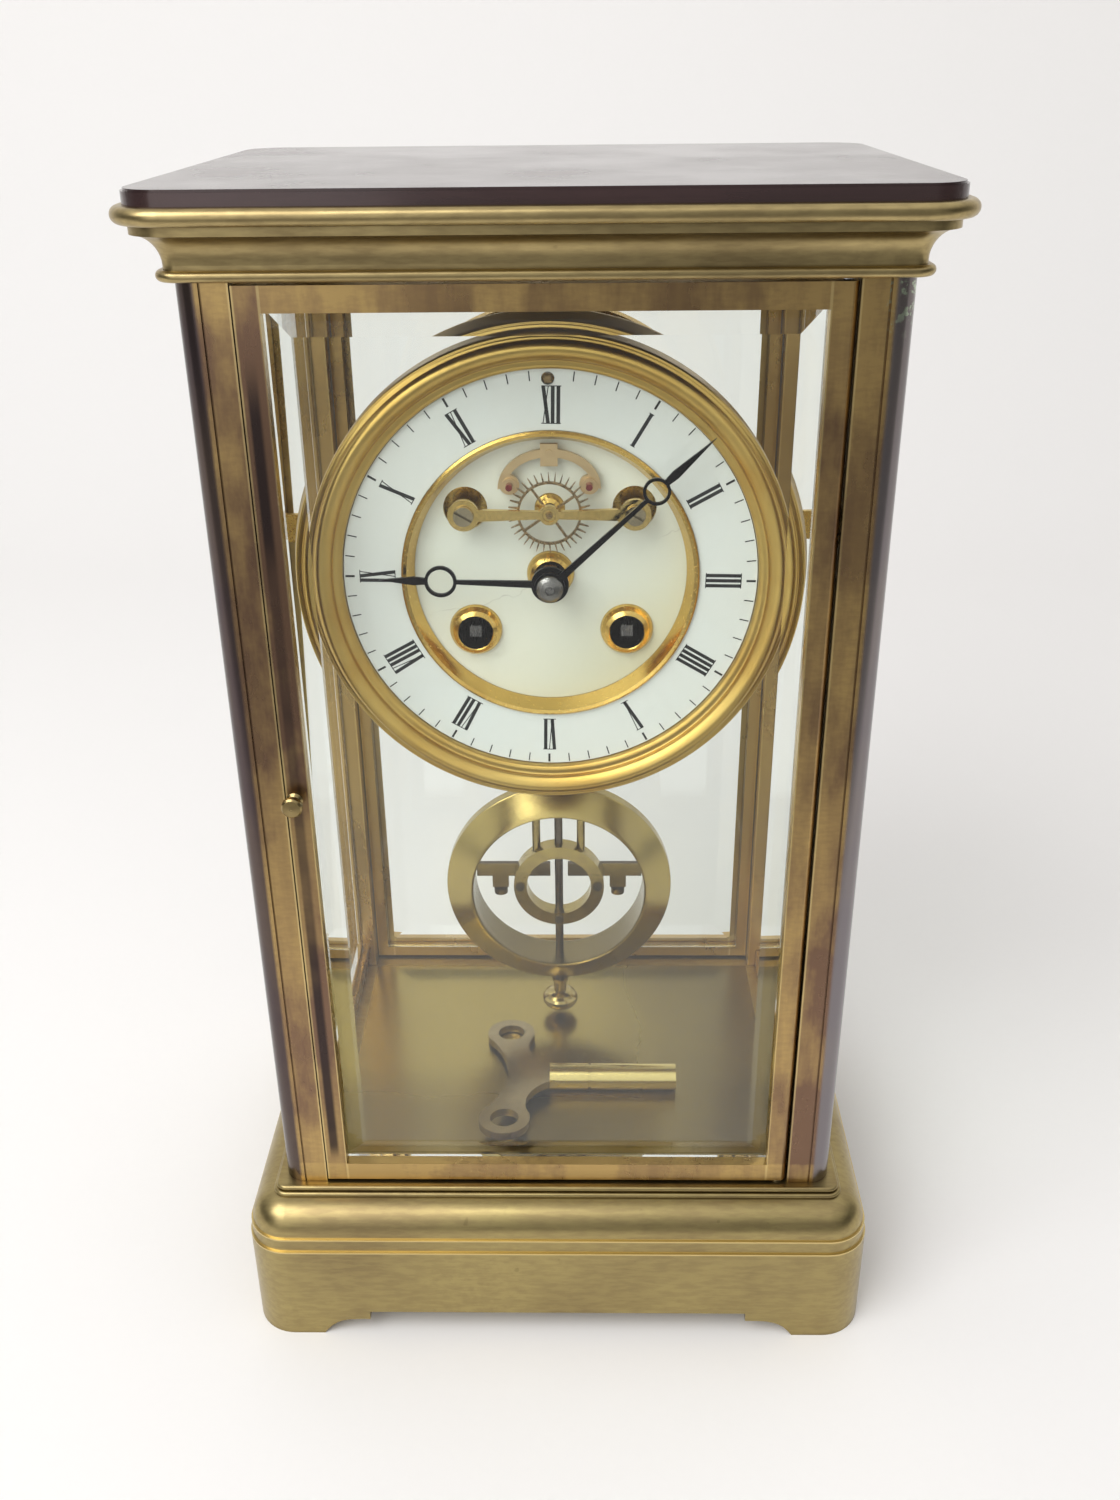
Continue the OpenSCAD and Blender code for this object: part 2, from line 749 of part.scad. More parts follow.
// Turned eyelet through the centre of the dial, domed up towards its hole
module collet(hole, outside, at, rise) {
    neck = outside - collet_lip - seat;
    edge = 0.3;
    w = outside - hole;
    turned([[hole, centre_y + centre_t], [hole, centre_y - rise + edge], [hole + edge, centre_y - rise],
        [outside - 0.45 * w, centre_y - 0.75 * rise], [outside - 0.12 * w, centre_y - 0.35 * rise],
        [outside, centre_y], [neck, centre_y], [neck, centre_y + centre_t]], at);
}

module dial_collets() {
    room = 0.45;
    color(gilt) {
        for (at = [going_at, strike_at]) collet(wind_hole_r, wind_hole_r + collet_w, at, collet_rise);
        collet(hour_pipe_r + room, centre_collet_r, centre_at, collet_rise);
        collet(arbor_r + room, escape_collet_r, escape_at, escape_collet_rise);
    }
}

// Movement

module plate_holes(y0, y1) {
    for (at = [escape_at, pallet_at, second_at, third_at, strike_second_at, pin_at, fly_at, hammer_at])
        ycyl(arbor_r + run, y0, y1, at);
    for (at = [going_at, strike_at]) ycyl(winding_r + run, y0, y1, at);
    for (at = [centre_at, regulator_at]) ycyl(arbor_body_r + run, y0, y1, at);
}

module front_plate() {
    color(gilt) {
        difference() {
            ycyl(plate_r, front_y, inside_y);
            plate_holes(front_y - 1, inside_y + 1);
        }
        ycyl(slim_r, minute_pinion_y - air, front_y, minute_at);
    }
}

module back_plate() {
    color(gilt) difference() {
        ycyl(plate_r, back_y, rear_y);
        plate_holes(back_y - 1, rear_y + 1);
    }
}

module plate_pillars() {
    end_r = 2.4;
    end_len = 3;
    neck_r = 1.6;
    neck_len = 5;
    belly_r = 2;
    color(gilt) for (a = [60, 120, 240, 300]) turned([[0, inside_y], [end_r, inside_y],
        [end_r, inside_y + end_len], [neck_r, inside_y + neck_len], [belly_r, (inside_y + back_y) / 2],
        [neck_r, back_y - neck_len], [end_r, back_y - end_len], [end_r, back_y], [0, back_y]],
        along(centre_at, pillar_ring, a));
}

// Drum with its great wheel, open inside for the spring and running on its arbor
module barrel(at, other) {
    color(gilt) difference() {
        union() {
            wheel(great_n, great_m, at, other, great_y, 0, 0, great_t);
            ycyl(barrel_r, great_y, drum_end, at);
        }
        ycyl(winding_r + run, great_y - 1, drum_end + 1, at);
        ycyl(barrel_r - drum_wall, great_y + great_t, drum_end - drum_wall, at);
    }
}

// Wound spring inside a drum, as one closed ring of its outer and inner size
module mainspring(at) {
    color(steel) difference() {
        ycyl(barrel_r - drum_wall - air, great_y + great_t + air, drum_end - drum_wall - air, at);
        ycyl(barrel_r / 2, great_y, drum_end, at);
    }
}

// Winding arbor: a square end for the key, a round body and a ratchet in front of the plate
module winding_arbor(at) {
    square_w = 2.7;
    square_y = centre_y - 1.2;
    shoulder_y = front_y - 2.4;
    ratchet_n = 24;
    ratchet_m = 0.5;
    ratchet_y = front_y - 2;
    color(steel) {
        ycyl(winding_r, shoulder_y, rear_y - 0.2, at);
        slab(ratchet_y, ratchet_y + wheel_t, at) toothed(ratchet_n, ratchet_m, 0, 0.8, 1, 0.1, 0.7);
        slab(square_y, ratchet_y, at) square(square_w, center = true);
    }
}

module going_barrel() { barrel(going_at, second_at); }

module going_mainspring() { mainspring(going_at); }

module going_arbor() { winding_arbor(going_at); }

module strike_barrel() { barrel(strike_at, strike_second_at); }

module strike_mainspring() { mainspring(strike_at); }

module strike_arbor() { winding_arbor(strike_at); }

module intermediate_wheel() {
    color(gilt) wheel(second_n, second_m, second_at, centre_at, second_wheel_y);
    color(steel) {
        arbor(second_at, slim_r);
        pinion(great_leaf, great_m, second_at, going_at, great_y - 0.6, great_y + great_t + 0.6);
    }
}

module centre_wheel() {
    color(gilt) wheel(centre_n, centre_m, centre_at, third_at, centre_wheel_y);
    color(steel) {
        ycyl(arbor_body_r, minute_y - 1.4, rear_y - 0.2);
        pinion(second_leaf, second_m, centre_at, second_at,
            second_wheel_y - 0.5, second_wheel_y + wheel_t + 0.2);
    }
}

module third_wheel() {
    color(gilt) wheel(third_n, third_m, third_at, escape_at, third_wheel_y, 4, 2);
    color(steel) {
        arbor(third_at, slim_r);
        pinion(third_leaf, centre_m, third_at, centre_at,
            centre_wheel_y - 0.4, centre_wheel_y + wheel_t + 0.4);
    }
}

// Escape wheel in front of the dial: a thin rim with long pointed teeth and four spokes
module escape_wheel() {
    rim_r = escape_r - 2;
    rim_w = 0.5;
    arm_w = 0.5;
    arm_turn = 35;
    tooth = 0.2;
    hub = 1.5;
    thin = 0.8;
    wheel_y = chapter_y - 1;
    color(gilt) slab(wheel_y, wheel_y + thin, escape_at) {
        difference() {
            union() {
                circle(rim_r);
                for (k = [0 : escape_teeth - 1]) rotate(k * 360 / escape_teeth)
                    polygon([[rim_r - tooth, -tooth], [escape_r, tooth / 2], [escape_r, tooth],
                        [rim_r - tooth, tooth]]);
            }
            circle(rim_r - rim_w);
        }
        for (k = [0 : 3]) rotate(arm_turn + 90 * k) translate([0, -arm_w / 2])
            square([rim_r - rim_w / 2, arm_w]);
        circle(hub);
    }
    color(steel) {
        ycyl(arbor_r, cock_y - 0.3, rear_y - 0.2, escape_at);
        pinion(escape_leaf, third_m, escape_at, third_at, third_wheel_y - 0.5, third_wheel_y + wheel_t + 0.5);
    }
}

module cannon_pinion() {
    color(steel) difference() {
        union() {
            ycyl(cannon_r, minute_y - 0.4, minute_wheel_y + wheel_t + 0.1);
            pinion(cannon_n, cannon_m, centre_at, minute_at,
                minute_wheel_y - 0.1, minute_wheel_y + wheel_t + 0.1);
        }
        ycyl(arbor_body_r + run, minute_y - 1, front_y);
    }
}

module minute_wheel() {
    color(gilt) difference() {
        union() {
            wheel(minute_n, cannon_m, minute_at, centre_at, minute_wheel_y, 0);
            pinion(minute_leaf, hour_m, minute_at, centre_at, minute_pinion_y, minute_wheel_y);
            ycyl(slim_r + 0.8, minute_wheel_y, front_y - air, minute_at);
        }
        ycyl(slim_r + run, minute_pinion_y - 1, front_y, minute_at);
    }
}

module hour_wheel() {
    color(gilt) difference() {
        union() {
            wheel(hour_n, hour_m, centre_at, minute_at, hour_wheel_y, 0);
            ycyl(hour_pipe_r, hour_y - 0.2, hour_wheel_y);
        }
        ycyl(cannon_r + run, hour_y - 1, front_y);
    }
}

// Hand with a tapered blade, an open ring and a spear tip, pointing up before it is turned
module moon_hand(len, ring_at, ring_r, ring_w, hub, hole) {
    spear_at = ring_at + ring_r + 2.4;
    root_w = 0.8;
    neck_w = 0.4;
    spear_w = 0.95;
    edge = [[root_w, hub - neck_w], [neck_w, ring_at], [spear_w, spear_at]];
    difference() {
        union() {
            circle(hub);
            translate([0, ring_at]) circle(ring_r);
            polygon(concat(edge, [[0, len]], [for (i = [2 : -1 : 0]) [-edge[i][0], edge[i][1]]]));
        }
        translate([0, ring_at]) circle(ring_r - ring_w);
        circle(hole);
    }
}

module hour_hand() {
    color(blued) slab(hour_y, hour_y + hand_t) rotate(hour_turn)
        moon_hand(len = hour_len, ring_at = 0.64 * hour_len, ring_r = 3.6, ring_w = 0.75,
            hub = 4.2, hole = hour_pipe_r + seat);
}

module minute_hand() {
    color(blued) slab(minute_y, minute_y + hand_t) rotate(minute_turn)
        moon_hand(len = minute_len, ring_at = 0.655 * minute_len, ring_r = 3, ring_w = 0.65,
            hub = 3.4, hole = cannon_r + seat);
}

module hand_nut() {
    bore = arbor_body_r + seat;
    rim_r = 3;
    rim_t = 0.7;
    top_r = 2.2;
    dome_t = 1.5;
    near = minute_y - 0.5;
    color(steel) turned([[bore, near], [rim_r, near], [rim_r - 0.1, near - rim_t],
        [top_r, near - dome_t + 0.2], [bore, near - dome_t]]);
}

// Bar across the front of the escape wheel, on two posts that stand on the front plate
module escape_cock() {
    eye_r = 3.5;
    boss_r = 2.2;
    waist = 0.8;
    shoulder = 1.4;
    sink_r = 1.5;
    sink = 0.3;
    color(gilt) difference() {
        union() {
            slab(cock_y, cock_y + cock_t, escape_at) {
                for (x = [-cock_x, cock_x]) translate([x, 0]) circle(eye_r);
                circle(boss_r);
                for (side = [-1, 1])
                    polygon([[0, -waist], [side * cock_x, -shoulder], [side * cock_x, shoulder], [0, waist]]);
            }
            for (x = [-cock_x, cock_x]) ycyl(cock_post_r, cock_y + cock_t - 0.1, front_y, [x, escape_rise]);
        }
        ycyl(arbor_r + run, cock_y - 1, cock_y + cock_t + 1, escape_at);
        ycyl(sink_r, cock_y - 1, cock_y + sink, escape_at);
        for (x = [-cock_x, cock_x])
            ycyl(cock_screw_r + seat, cock_y - 1, cock_y + cock_screw_len + 1, [x, escape_rise]);
    }
}

module cock_screws() {
    head_r = 2.2;
    head_t = 0.9;
    slot_w = 0.56;
    slot_y = cock_y - 0.4;
    slot_turn = 30;
    color(steel) for (x = [-cock_x, cock_x]) difference() {
        union() {
            ycyl(head_r, cock_y - head_t, cock_y, [x, escape_rise]);
            ycyl(cock_screw_r, cock_y, cock_y + cock_screw_len, [x, escape_rise]);
        }
        translate([x, 0, dial_z + escape_rise]) rotate([0, slot_turn, 0])
            box(-head_r - 1, head_r + 1, cock_y - head_t - 1, slot_y, -slot_w / 2, slot_w / 2);
    }
}

// Pallet yoke in front of the dial, its arbor through the plates, and the crutch behind them
module pallet_anchor() {
    arch_w = pallet_dx + 2.6;
    arch_z = pallet_dz - 1;
    arch_h = pallet_rise + 0.8 - arch_z;
    band = 1.8;
    end_r = 2.2;
    stem_w = 3.8;
    stem_low = pallet_rise - 3;
    stem_top = pallet_rise + 1.9;
    cup_r = 1.6;
    cup_h = 0.6;
    crutch_boss_r = 2;
    fork_w = 5.2;
    pin_r = 0.5;
    arch = [for (i = [0 : 36]) let(a = i <= 18 ? 5 * i : 180 - 5 * i, in = i <= 18 ? 0 : band)
        [(arch_w - in) * sin(a), arch_z + (arch_h - in) * cos(a)]];
    color(gilt) slab(yoke_y, yoke_y + yoke_t) {
        for (side = [-1, 1]) {
            polygon([for (p = arch) [side * p[0], p[1]]]);
            translate([side * pallet_dx, pallet_dz]) circle(end_r);
        }
        translate([-stem_w / 2, stem_low]) square([stem_w, stem_top - stem_low]);
    }
    color(gilt) for (side = [-1, 1]) difference() {
        ycyl(cup_r, yoke_y - cup_h, yoke_y + 0.1, [side * pallet_dx, pallet_dz]);
        ycyl(jewel_r + seat, yoke_y - 1, yoke_y, [side * pallet_dx, pallet_dz]);
    }
    color(steel) {
        ycyl(arbor_r, yoke_y - 0.3, crutch_y + crutch_t, pallet_at);
        slab(crutch_y, crutch_y + crutch_t, pallet_at) {
            circle(crutch_boss_r);
            translate([-crutch_t / 2, -crutch_drop]) square([crutch_t, crutch_drop]);
            translate([-fork_w / 2, -crutch_drop - 1]) square([fork_w, 2]);
        }
        for (x = [-1, 1])
            ycyl(pin_r, crutch_y, swing_y + 2, [x * (rod_r + pin_r + 0.2), pallet_rise - crutch_drop]);
    }
}

module pallet_jewels() {
    jewel_len = 2.4;
    color(ruby) for (side = [-1, 1])
        ycyl(jewel_r, yoke_y - jewel_len, yoke_y, [side * pallet_dx, pallet_dz]);
}

module strike_second_wheel() {
    color(gilt) wheel(second_n, second_m, strike_second_at, pin_at, second_wheel_y);
    color(steel) {
        arbor(strike_second_at);
        pinion(great_leaf, great_m, strike_second_at, strike_at, great_y - 0.6, great_y + great_t + 0.6);
    }
}

// Wheel with the pins that raise the hammer's tail
module pin_wheel() {
    pins = 8;
    pin_r = 0.4;
    pin_len = 1.4;
    pin_ring = 7;
    pin_y = inside_y + 2;
    color(gilt) wheel(pin_n, pin_m, pin_at, fly_at, pin_y, 0);
    color(steel) {
        arbor(pin_at);
        pinion(second_leaf, second_m, pin_at, strike_second_at,
            second_wheel_y - 0.4, second_wheel_y + wheel_t + 0.4);
        for (k = [0 : pins - 1])
            ycyl(pin_r, pin_y + wheel_t, pin_y + wheel_t + pin_len, along(pin_at, pin_ring, k * 360 / pins));
    }
}

// Air brake of the striking train: a thin vane on a fast arbor
module fly() {
    vane = 5;
    vane_t = 0.7;
    color(steel) {
        arbor(fly_at, slim_r);
        pinion(fly_leaf, pin_m, fly_at, pin_at, inside_y + 1.6, inside_y + 3.6);
    }
    color(gilt) slab(great_y + 2, back_y - 3, fly_at) square([2 * vane, vane_t], center = true);
}

module hammer() {
    body_r = 0.9;
    arm_y = bell_y + 2;
    arm_t = 1.4;
    arm_w = 1.6;
    arm_boss_r = 1.8;
    tail_y = inside_y + 3.9;
    tail_t = 0.8;
    tail_w = 1.2;
    tail_len = 26;
    tail_turn = 84;
    tail_boss_r = 1.6;
    head_len = 4.6;
    v = hammer_end - hammer_at;
    color(steel) {
        arbor(hammer_at, body_r);
        ycyl(arbor_r, rear_y - 1, arm_y + arm_t, hammer_at);
        slab(arm_y, arm_y + arm_t, hammer_at) {
            circle(arm_boss_r);
            rotate(atan2(v[1], v[0])) translate([0, -arm_w / 2]) square([norm(v), arm_w]);
        }
        slab(tail_y, tail_y + tail_t, hammer_at) {
            circle(tail_boss_r);
            rotate(tail_turn) translate([0, -tail_w / 2]) square([tail_len, tail_w]);
        }
    }
    color(gilt) ycyl(hammer_head_r, arm_y - arm_w, arm_y - arm_w + head_len, hammer_end);
}

// Bell with its mouth towards the movement and its crown at the back
module bell() {
    crown_y = bell_y + bell_d;
    hole_r = 1.6;
    outer = [for (i = [0 : 8]) let(a = 90 * i / 8)
        [bell_r * (0.55 * cos(a) + 0.45 * (1 - pow(i / 8, 3))), bell_y + bell_d * pow(sin(a), 1.4)]];
    color(gilt) turned(concat([for (p = outer) [max(p[0], hole_r), p[1]]], [[hole_r, crown_y - bell_wall]],
        [for (i = [7 : -1 : 0])
            [max(outer[i][0] - bell_wall, hole_r), min(outer[i][1], crown_y - bell_wall)]]));
}

module bell_stand() {
    crown_y = bell_y + bell_d;
    post_r = 2.2;
    arm_y = bell_y + 3;
    arm_t = 2;
    arm_w = 3.2;
    boss_r = 2.6;
    screw_r = 1.5;
    head_r = 2.8;
    head_t = 1.8;
    color(steel) {
        ycyl(post_r, rear_y, arm_y + arm_t, post_at);
        slab(arm_y, arm_y + arm_t) {
            circle(boss_r);
            rotate(bearing(centre_at, post_at)) translate([0, -arm_w / 2]) square([norm(post_at), arm_w]);
            translate(post_at) circle(boss_r);
        }
        ycyl(boss_r, arm_y, crown_y - bell_wall);
        ycyl(screw_r, arm_y, crown_y + head_t / 2);
        ycyl(head_r, crown_y, crown_y + head_t);
    }
}

// Square-ended arbor above the twelve, back to the suspension
module regulator_arbor() {
    square_w = 1.3;
    color(steel) {
        ycyl(arbor_body_r, chapter_y, rear_y + 4, regulator_at);
        slab(chapter_y - 1, chapter_y, regulator_at) square(square_w, center = true);
    }
}

// Pendulum

module suspension_cock() {
    top = regulator_at[1] + 2.2;
    arm_z = pallet_rise + strip_up - 3.6;
    leg_t = 4.5;
    leg_in = 9;
    leg_out = 13;
    arm_half = 4;
    color(gilt) difference() {
        translate([0, 0, dial_z]) {
            for (side = [0, 1]) mirror([side, 0, 0])
                box(leg_in, leg_out, rear_y, rear_y + leg_t, pallet_rise - 5, top);
            box(-leg_out, leg_out, rear_y, rear_y + leg_t, arm_z, top);
            box(-arm_half, arm_half, rear_y, swing_y + strip_w / 2 + 1, arm_z, top - 2.5);
        }
        ycyl(arbor_body_r + run, rear_y - 1, rear_y + leg_t + 1, regulator_at);
        translate([0, 0, dial_z]) box(-strip_t / 2, strip_t / 2, swing_y - strip_w / 2, swing_y + strip_w / 2,
            arm_z - 1, pallet_rise + strip_up);
    }
}

module suspension_spring() {
    color(steel) box(-strip_t / 2, strip_t / 2, swing_y - strip_w / 2, swing_y + strip_w / 2,
        swing_z - strip_down, swing_z + strip_up);
}

// Hook and yoke at the top, two outer rods and the middle rod with its thread
module pendulum_rods() {
    hub_top = bob_z + sqrt(hub_r * hub_r - rod_x * rod_x);
    hook_half = 3.4;
    hook_d = strip_w / 2 + 0.6;
    yoke_end = 2;
    yoke_h = 3;
    color(gilt) {
        difference() {
            box(-hook_half, hook_half, swing_y - hook_d, swing_y + hook_d, yoke_z, hook_top);
            box(-hook_slot / 2, hook_slot / 2, swing_y - hook_d - 1, swing_y + hook_d + 1,
                swing_z - strip_down - air, hook_top + 1);
        }
        box(-rod_x - yoke_end, rod_x + yoke_end, swing_y - yoke_end, swing_y + yoke_end,
            yoke_z - yoke_h, yoke_z);
        for (x = [-rod_x, rod_x]) translate([x, swing_y, hub_top - 0.6])
            cylinder(r = rod_r, h = yoke_z - hub_top - 1);
    }
    color(steel) translate([0, swing_y, rod_end]) cylinder(r = rod_r, h = yoke_z - rod_end - 1);
}

// Heavy ring, thick at its inner edge and bevelled to a thin rim
module pendulum_bob() {
    rim = 2;
    edge = 0.4;
    land = 1.2;
    inner = bob_t / 2;
    half = [[bob_in_r, inner - edge], [bob_in_r + edge, inner], [bob_in_r + land, inner],
        [bob_r - edge, rim], [bob_r, rim - edge]];
    color(gilt) difference() {
        translate([0, swing_y, bob_z]) rotate([90, 0, 0]) rotate_extrude()
            polygon(concat(half, [for (i = [4 : -1 : 0]) [half[i][0], -half[i][1]]]));
        translate([0, swing_y, bob_z - bob_r - 1]) cylinder(r = rod_r + seat, h = bob_r);
        for (x = [-rod_x, 0, rod_x]) translate([x, swing_y, bob_z]) cylinder(r = rod_r + seat, h = bob_r + 1);
    }
}

// Small ring on the rods, with the two bimetal levers that reach the bob and their screws
module compensation_frame() {
    hub_t = 5;
    screw_h = 0.6;
    lever_z = 0.6;
    lever_h = 4.2;
    lever_t = 1.6;
    lever_near = hub_t / 2;
    lever_end = sqrt(bob_in_r * bob_in_r - pow(lever_z + lever_h, 2)) - seat;
    block_x = 0.7 * bob_in_r;
    block_half = 2.4;
    block_t = 2.2;
    block_low = lever_z - 3.9;
    bolt_y = lever_near + block_t / 2;
    bolt_low = lever_z - 6.2;
    bolt_r = 0.9;
    bolt_head_r = 2;
    bolt_head_h = 1.6;
    screw_r = 1.3;
    translate([0, swing_y, bob_z]) {
        color(gilt) difference() {
            rotate([90, 0, 0]) linear_extrude(hub_t, center = true) difference() {
                circle(hub_r);
                circle(hub_in_r);
            }
            translate([0, 0, -bob_r]) cylinder(r = rod_r + seat, h = 2 * bob_r);
            for (x = [-rod_x, rod_x]) translate([x, 0, 0]) cylinder(r = rod_r + seat, h = bob_r);
        }
        color(steel) for (side = [0, 1]) mirror([side, 0, 0]) {
            box(rod_r + 1.4, lever_end, lever_near, lever_near + lever_t, lever_z, lever_z + lever_h);
            box(block_x - block_half, block_x + block_half, lever_near, lever_near + block_t,
                block_low, lever_z + 0.1);
            translate([block_x, bolt_y, bolt_low]) cylinder(r = bolt_r, h = block_low - bolt_low + 0.6);
            translate([block_x, bolt_y, bolt_low]) cylinder(r = bolt_head_r, h = bolt_head_h);
        }
        color(steel) for (turn = [0, 90, 180]) rotate([0, turn, 0])
            translate([(hub_r + hub_in_r) / 2, -hub_t / 2 - screw_h, 0]) rotate([-90, 0, 0])
                cylinder(r = screw_r, h = screw_h);
    }
}

// Flattened ball on a stem, screwed on the end of the middle rod
module rating_nut() {
    bore = rod_r + run;
    stem = 1.9;
    ball_h = 6.4;
    collar = 0.6;
    collar_z = nut_h - 1;
    color(gilt) translate([0, swing_y, nut_top - nut_h]) rotate_extrude() polygon(concat(
        [[bore, 0]],
        [for (a = [-75 : 15 : 75]) [max(nut_r * cos(a), bore + 0.3), ball_h / 2 * (1 + sin(a))]],
        [[stem, ball_h], [stem, collar_z - 0.2], [stem + collar, collar_z], [stem + collar, nut_h],
            [bore, nut_h]]));
}

// Key that lies on the floor: a tube with a square socket and a plate with two looped wings
module winding_key() {
    tube_x = -2.5;
    tube_y = -15.8;
    wing_r = 7;
    hole_r = 3.9;
    wing_x = -12;
    half_span = key_span / 2;
    lobe_r = wing_r - 0.15;
    waist_r = (half_span * half_span - lobe_r * lobe_r) / (2 * lobe_r);
    edge = lobe_r / (waist_r + lobe_r);
    fillet_r = 11;
    fillet_y = key_tube_r - 0.5 + fillet_r;
    fillet_x = wing_x + sqrt(pow(fillet_r + lobe_r, 2) - pow(half_span - fillet_y, 2));
    socket = 3;
    socket_at = key_tube_len - 9;
    pin_at = 0.58 * key_tube_len;
    pin_r = 0.6;
    pin_deep = 1.2;
    groove_at = 11;
    groove_w = 0.8;
    groove_deep = 0.4;
    tilt = asin((key_tube_r - key_wing_t / 2) / (half_span + wing_r));
    translate([tube_x, tube_y, floor_z + key_tube_r + seat]) color(dark_brass) {
        difference() {
            rotate([0, 90, 0]) cylinder(r = key_tube_r, h = key_tube_len);
            box(socket_at, key_tube_len + 1, -socket / 2, socket / 2, -socket / 2, socket / 2);
            translate([pin_at, 0, key_tube_r - pin_deep]) cylinder(r = pin_r, h = pin_deep + 1);
            rotate([0, 90, 0]) translate([0, 0, groove_at]) difference() {
                cylinder(r = key_tube_r + 1, h = groove_w);
                cylinder(r = key_tube_r - groove_deep, h = groove_w);
            }
        }
        rotate([-tilt, 0, 0]) translate([0, 0, -key_wing_t / 2]) linear_extrude(key_wing_t) difference() {
            union() {
                for (side = [-1, 1]) translate([wing_x, side * half_span]) circle(wing_r);
                difference() {
                    polygon([[wing_x, half_span], [fillet_x, fillet_y], [fillet_x, -fillet_y],
                        [wing_x, -half_span], [wing_x - edge * waist_r, -(1 - edge) * half_span],
                        [wing_x - edge * waist_r, (1 - edge) * half_span]]);
                    translate([wing_x - waist_r, 0]) circle(waist_r);
                    for (side = [-1, 1]) translate([fillet_x, side * fillet_y]) circle(fillet_r);
                }
            }
            for (side = [-1, 1]) translate([wing_x, side * half_span]) circle(hole_r);
        }
    }
}

base_plinth();
base_moulding();
floor_plate();
front_pillars();
rear_pillars();
cornice();
top_plate();
side_rails();
side_glasses();
hinge_pins();
front_door_frame();
front_door_glass();
front_latch();
rear_door_frame();
rear_door_glass();
rear_latch();
movement_brackets();
bezel();
dial_plate();
chapter_ring();
inner_ring();
dial_centre();
dial_collets();
front_plate();
back_plate();
plate_pillars();
going_barrel();
going_mainspring();
going_arbor();
strike_barrel();
strike_mainspring();
strike_arbor();
intermediate_wheel();
centre_wheel();
third_wheel();
escape_wheel();
cannon_pinion();
minute_wheel();
hour_wheel();
hour_hand();
minute_hand();
hand_nut();
escape_cock();
cock_screws();
pallet_anchor();
pallet_jewels();
strike_second_wheel();
pin_wheel();
fly();
hammer();
bell();
bell_stand();
regulator_arbor();
suspension_cock();
suspension_spring();
pendulum_rods();
pendulum_bob();
compensation_frame();
rating_nut();
winding_key();
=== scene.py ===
"""Looks of a four-glass mantel clock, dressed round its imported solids.

Metres. X runs to the right, Y runs away from the dial's side, Z is up.
"""

import math

import bpy
import numpy as np
from bpy.props import FloatProperty, FloatVectorProperty, PointerProperty
from mathutils import Matrix, Vector


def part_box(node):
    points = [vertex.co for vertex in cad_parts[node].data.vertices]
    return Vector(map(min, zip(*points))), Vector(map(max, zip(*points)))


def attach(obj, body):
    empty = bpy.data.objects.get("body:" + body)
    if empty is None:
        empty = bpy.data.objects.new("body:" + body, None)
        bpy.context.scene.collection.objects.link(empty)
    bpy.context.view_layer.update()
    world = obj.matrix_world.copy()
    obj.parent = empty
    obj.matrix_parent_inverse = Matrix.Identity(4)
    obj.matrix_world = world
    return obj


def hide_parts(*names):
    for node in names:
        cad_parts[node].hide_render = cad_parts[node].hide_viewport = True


bl_info = {
    "name": "Four-glass mantel clock",
    "version": (1, 0, 0),
    "blender": (4, 5, 0),
    "location": "View3D > Sidebar > Clock",
    "description": "Dresses the solids of a four-glass mantel clock with finishes, numerals and a studio",
    "category": "Object",
}

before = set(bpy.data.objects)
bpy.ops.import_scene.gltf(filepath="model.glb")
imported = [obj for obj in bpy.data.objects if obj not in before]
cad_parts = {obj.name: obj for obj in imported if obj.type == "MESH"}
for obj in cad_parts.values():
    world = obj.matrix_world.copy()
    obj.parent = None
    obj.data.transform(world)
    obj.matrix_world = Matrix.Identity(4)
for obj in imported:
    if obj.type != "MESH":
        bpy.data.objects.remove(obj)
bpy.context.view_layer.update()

MM = 0.001

# Places of the solids that the finishes and the new pieces are worked out from
ring_low, ring_high = map(np.array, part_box("chapter_ring"))
DIAL_CENTRE = (ring_low + ring_high) / 2
DIAL_FACE = ring_low[1]
CHAPTER_R = (ring_high[0] - ring_low[0]) / 2
bezel_low, bezel_high = map(np.array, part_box("bezel"))
BEZEL_R = (bezel_high[0] - bezel_low[0]) / 2
bob_low, bob_high = map(np.array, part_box("pendulum_bob"))
BOB_CENTRE = (bob_low + bob_high) / 2
BOB_R = (bob_high[0] - bob_low[0]) / 2
door_low, door_high = map(np.array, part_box("front_door_frame"))
DOOR_LEFT, DOOR_FRONT, DOOR_FOOT = door_low
DOOR_RIGHT, DOOR_HEAD = door_high[[0, 2]]
PLINTH_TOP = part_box("base_plinth")[1][2]
winding_low, winding_high = map(np.array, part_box("going_arbor"))
WINDING_X, WINDING_Z = ((winding_low + winding_high) / 2)[[0, 2]]
WINDING_END = winding_low[1]
floor_low, floor_high = map(np.array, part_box("floor_plate"))
KEY_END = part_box("winding_key")[1][0]

# Sizes of the solids that no box gives: a door's upright and its gap to the pillar, the fillet on the base's
# block, the key's tube, the bob's hollow, and round the pendulum's middle a little more than half the small
# ring's depth, its hollow, and the reach of the middle rod
STILE = 5.3 * MM
DOOR_GAP = 0.3 * MM
FILLET = 4.0 * MM
KEY_TUBE = 36 * MM
BOB_INNER = BOB_R - 8 * MM
MIDDLE_RING_HALF = 2.6 * MM
MIDDLE_HOLLOW_R = 9.0 * MM
MIDDLE_ROD_REACH = 2.0 * MM

NUMERALS = ("I", "II", "III", "IIII", "V", "VI", "VII", "VIII", "IX", "X", "XI", "XII")
# Each letter's width in shares of the stroke pitch, and its strokes: start and end across, thick or hairline
LETTERS = {
    "I": (1.0, ((0.0, 0.0, True),)),
    "V": (1.5, ((0.0, -0.5, True), (0.0, 0.5, False))),
    "X": (1.5, ((0.45, -0.45, True), (-0.45, 0.45, False))),
}

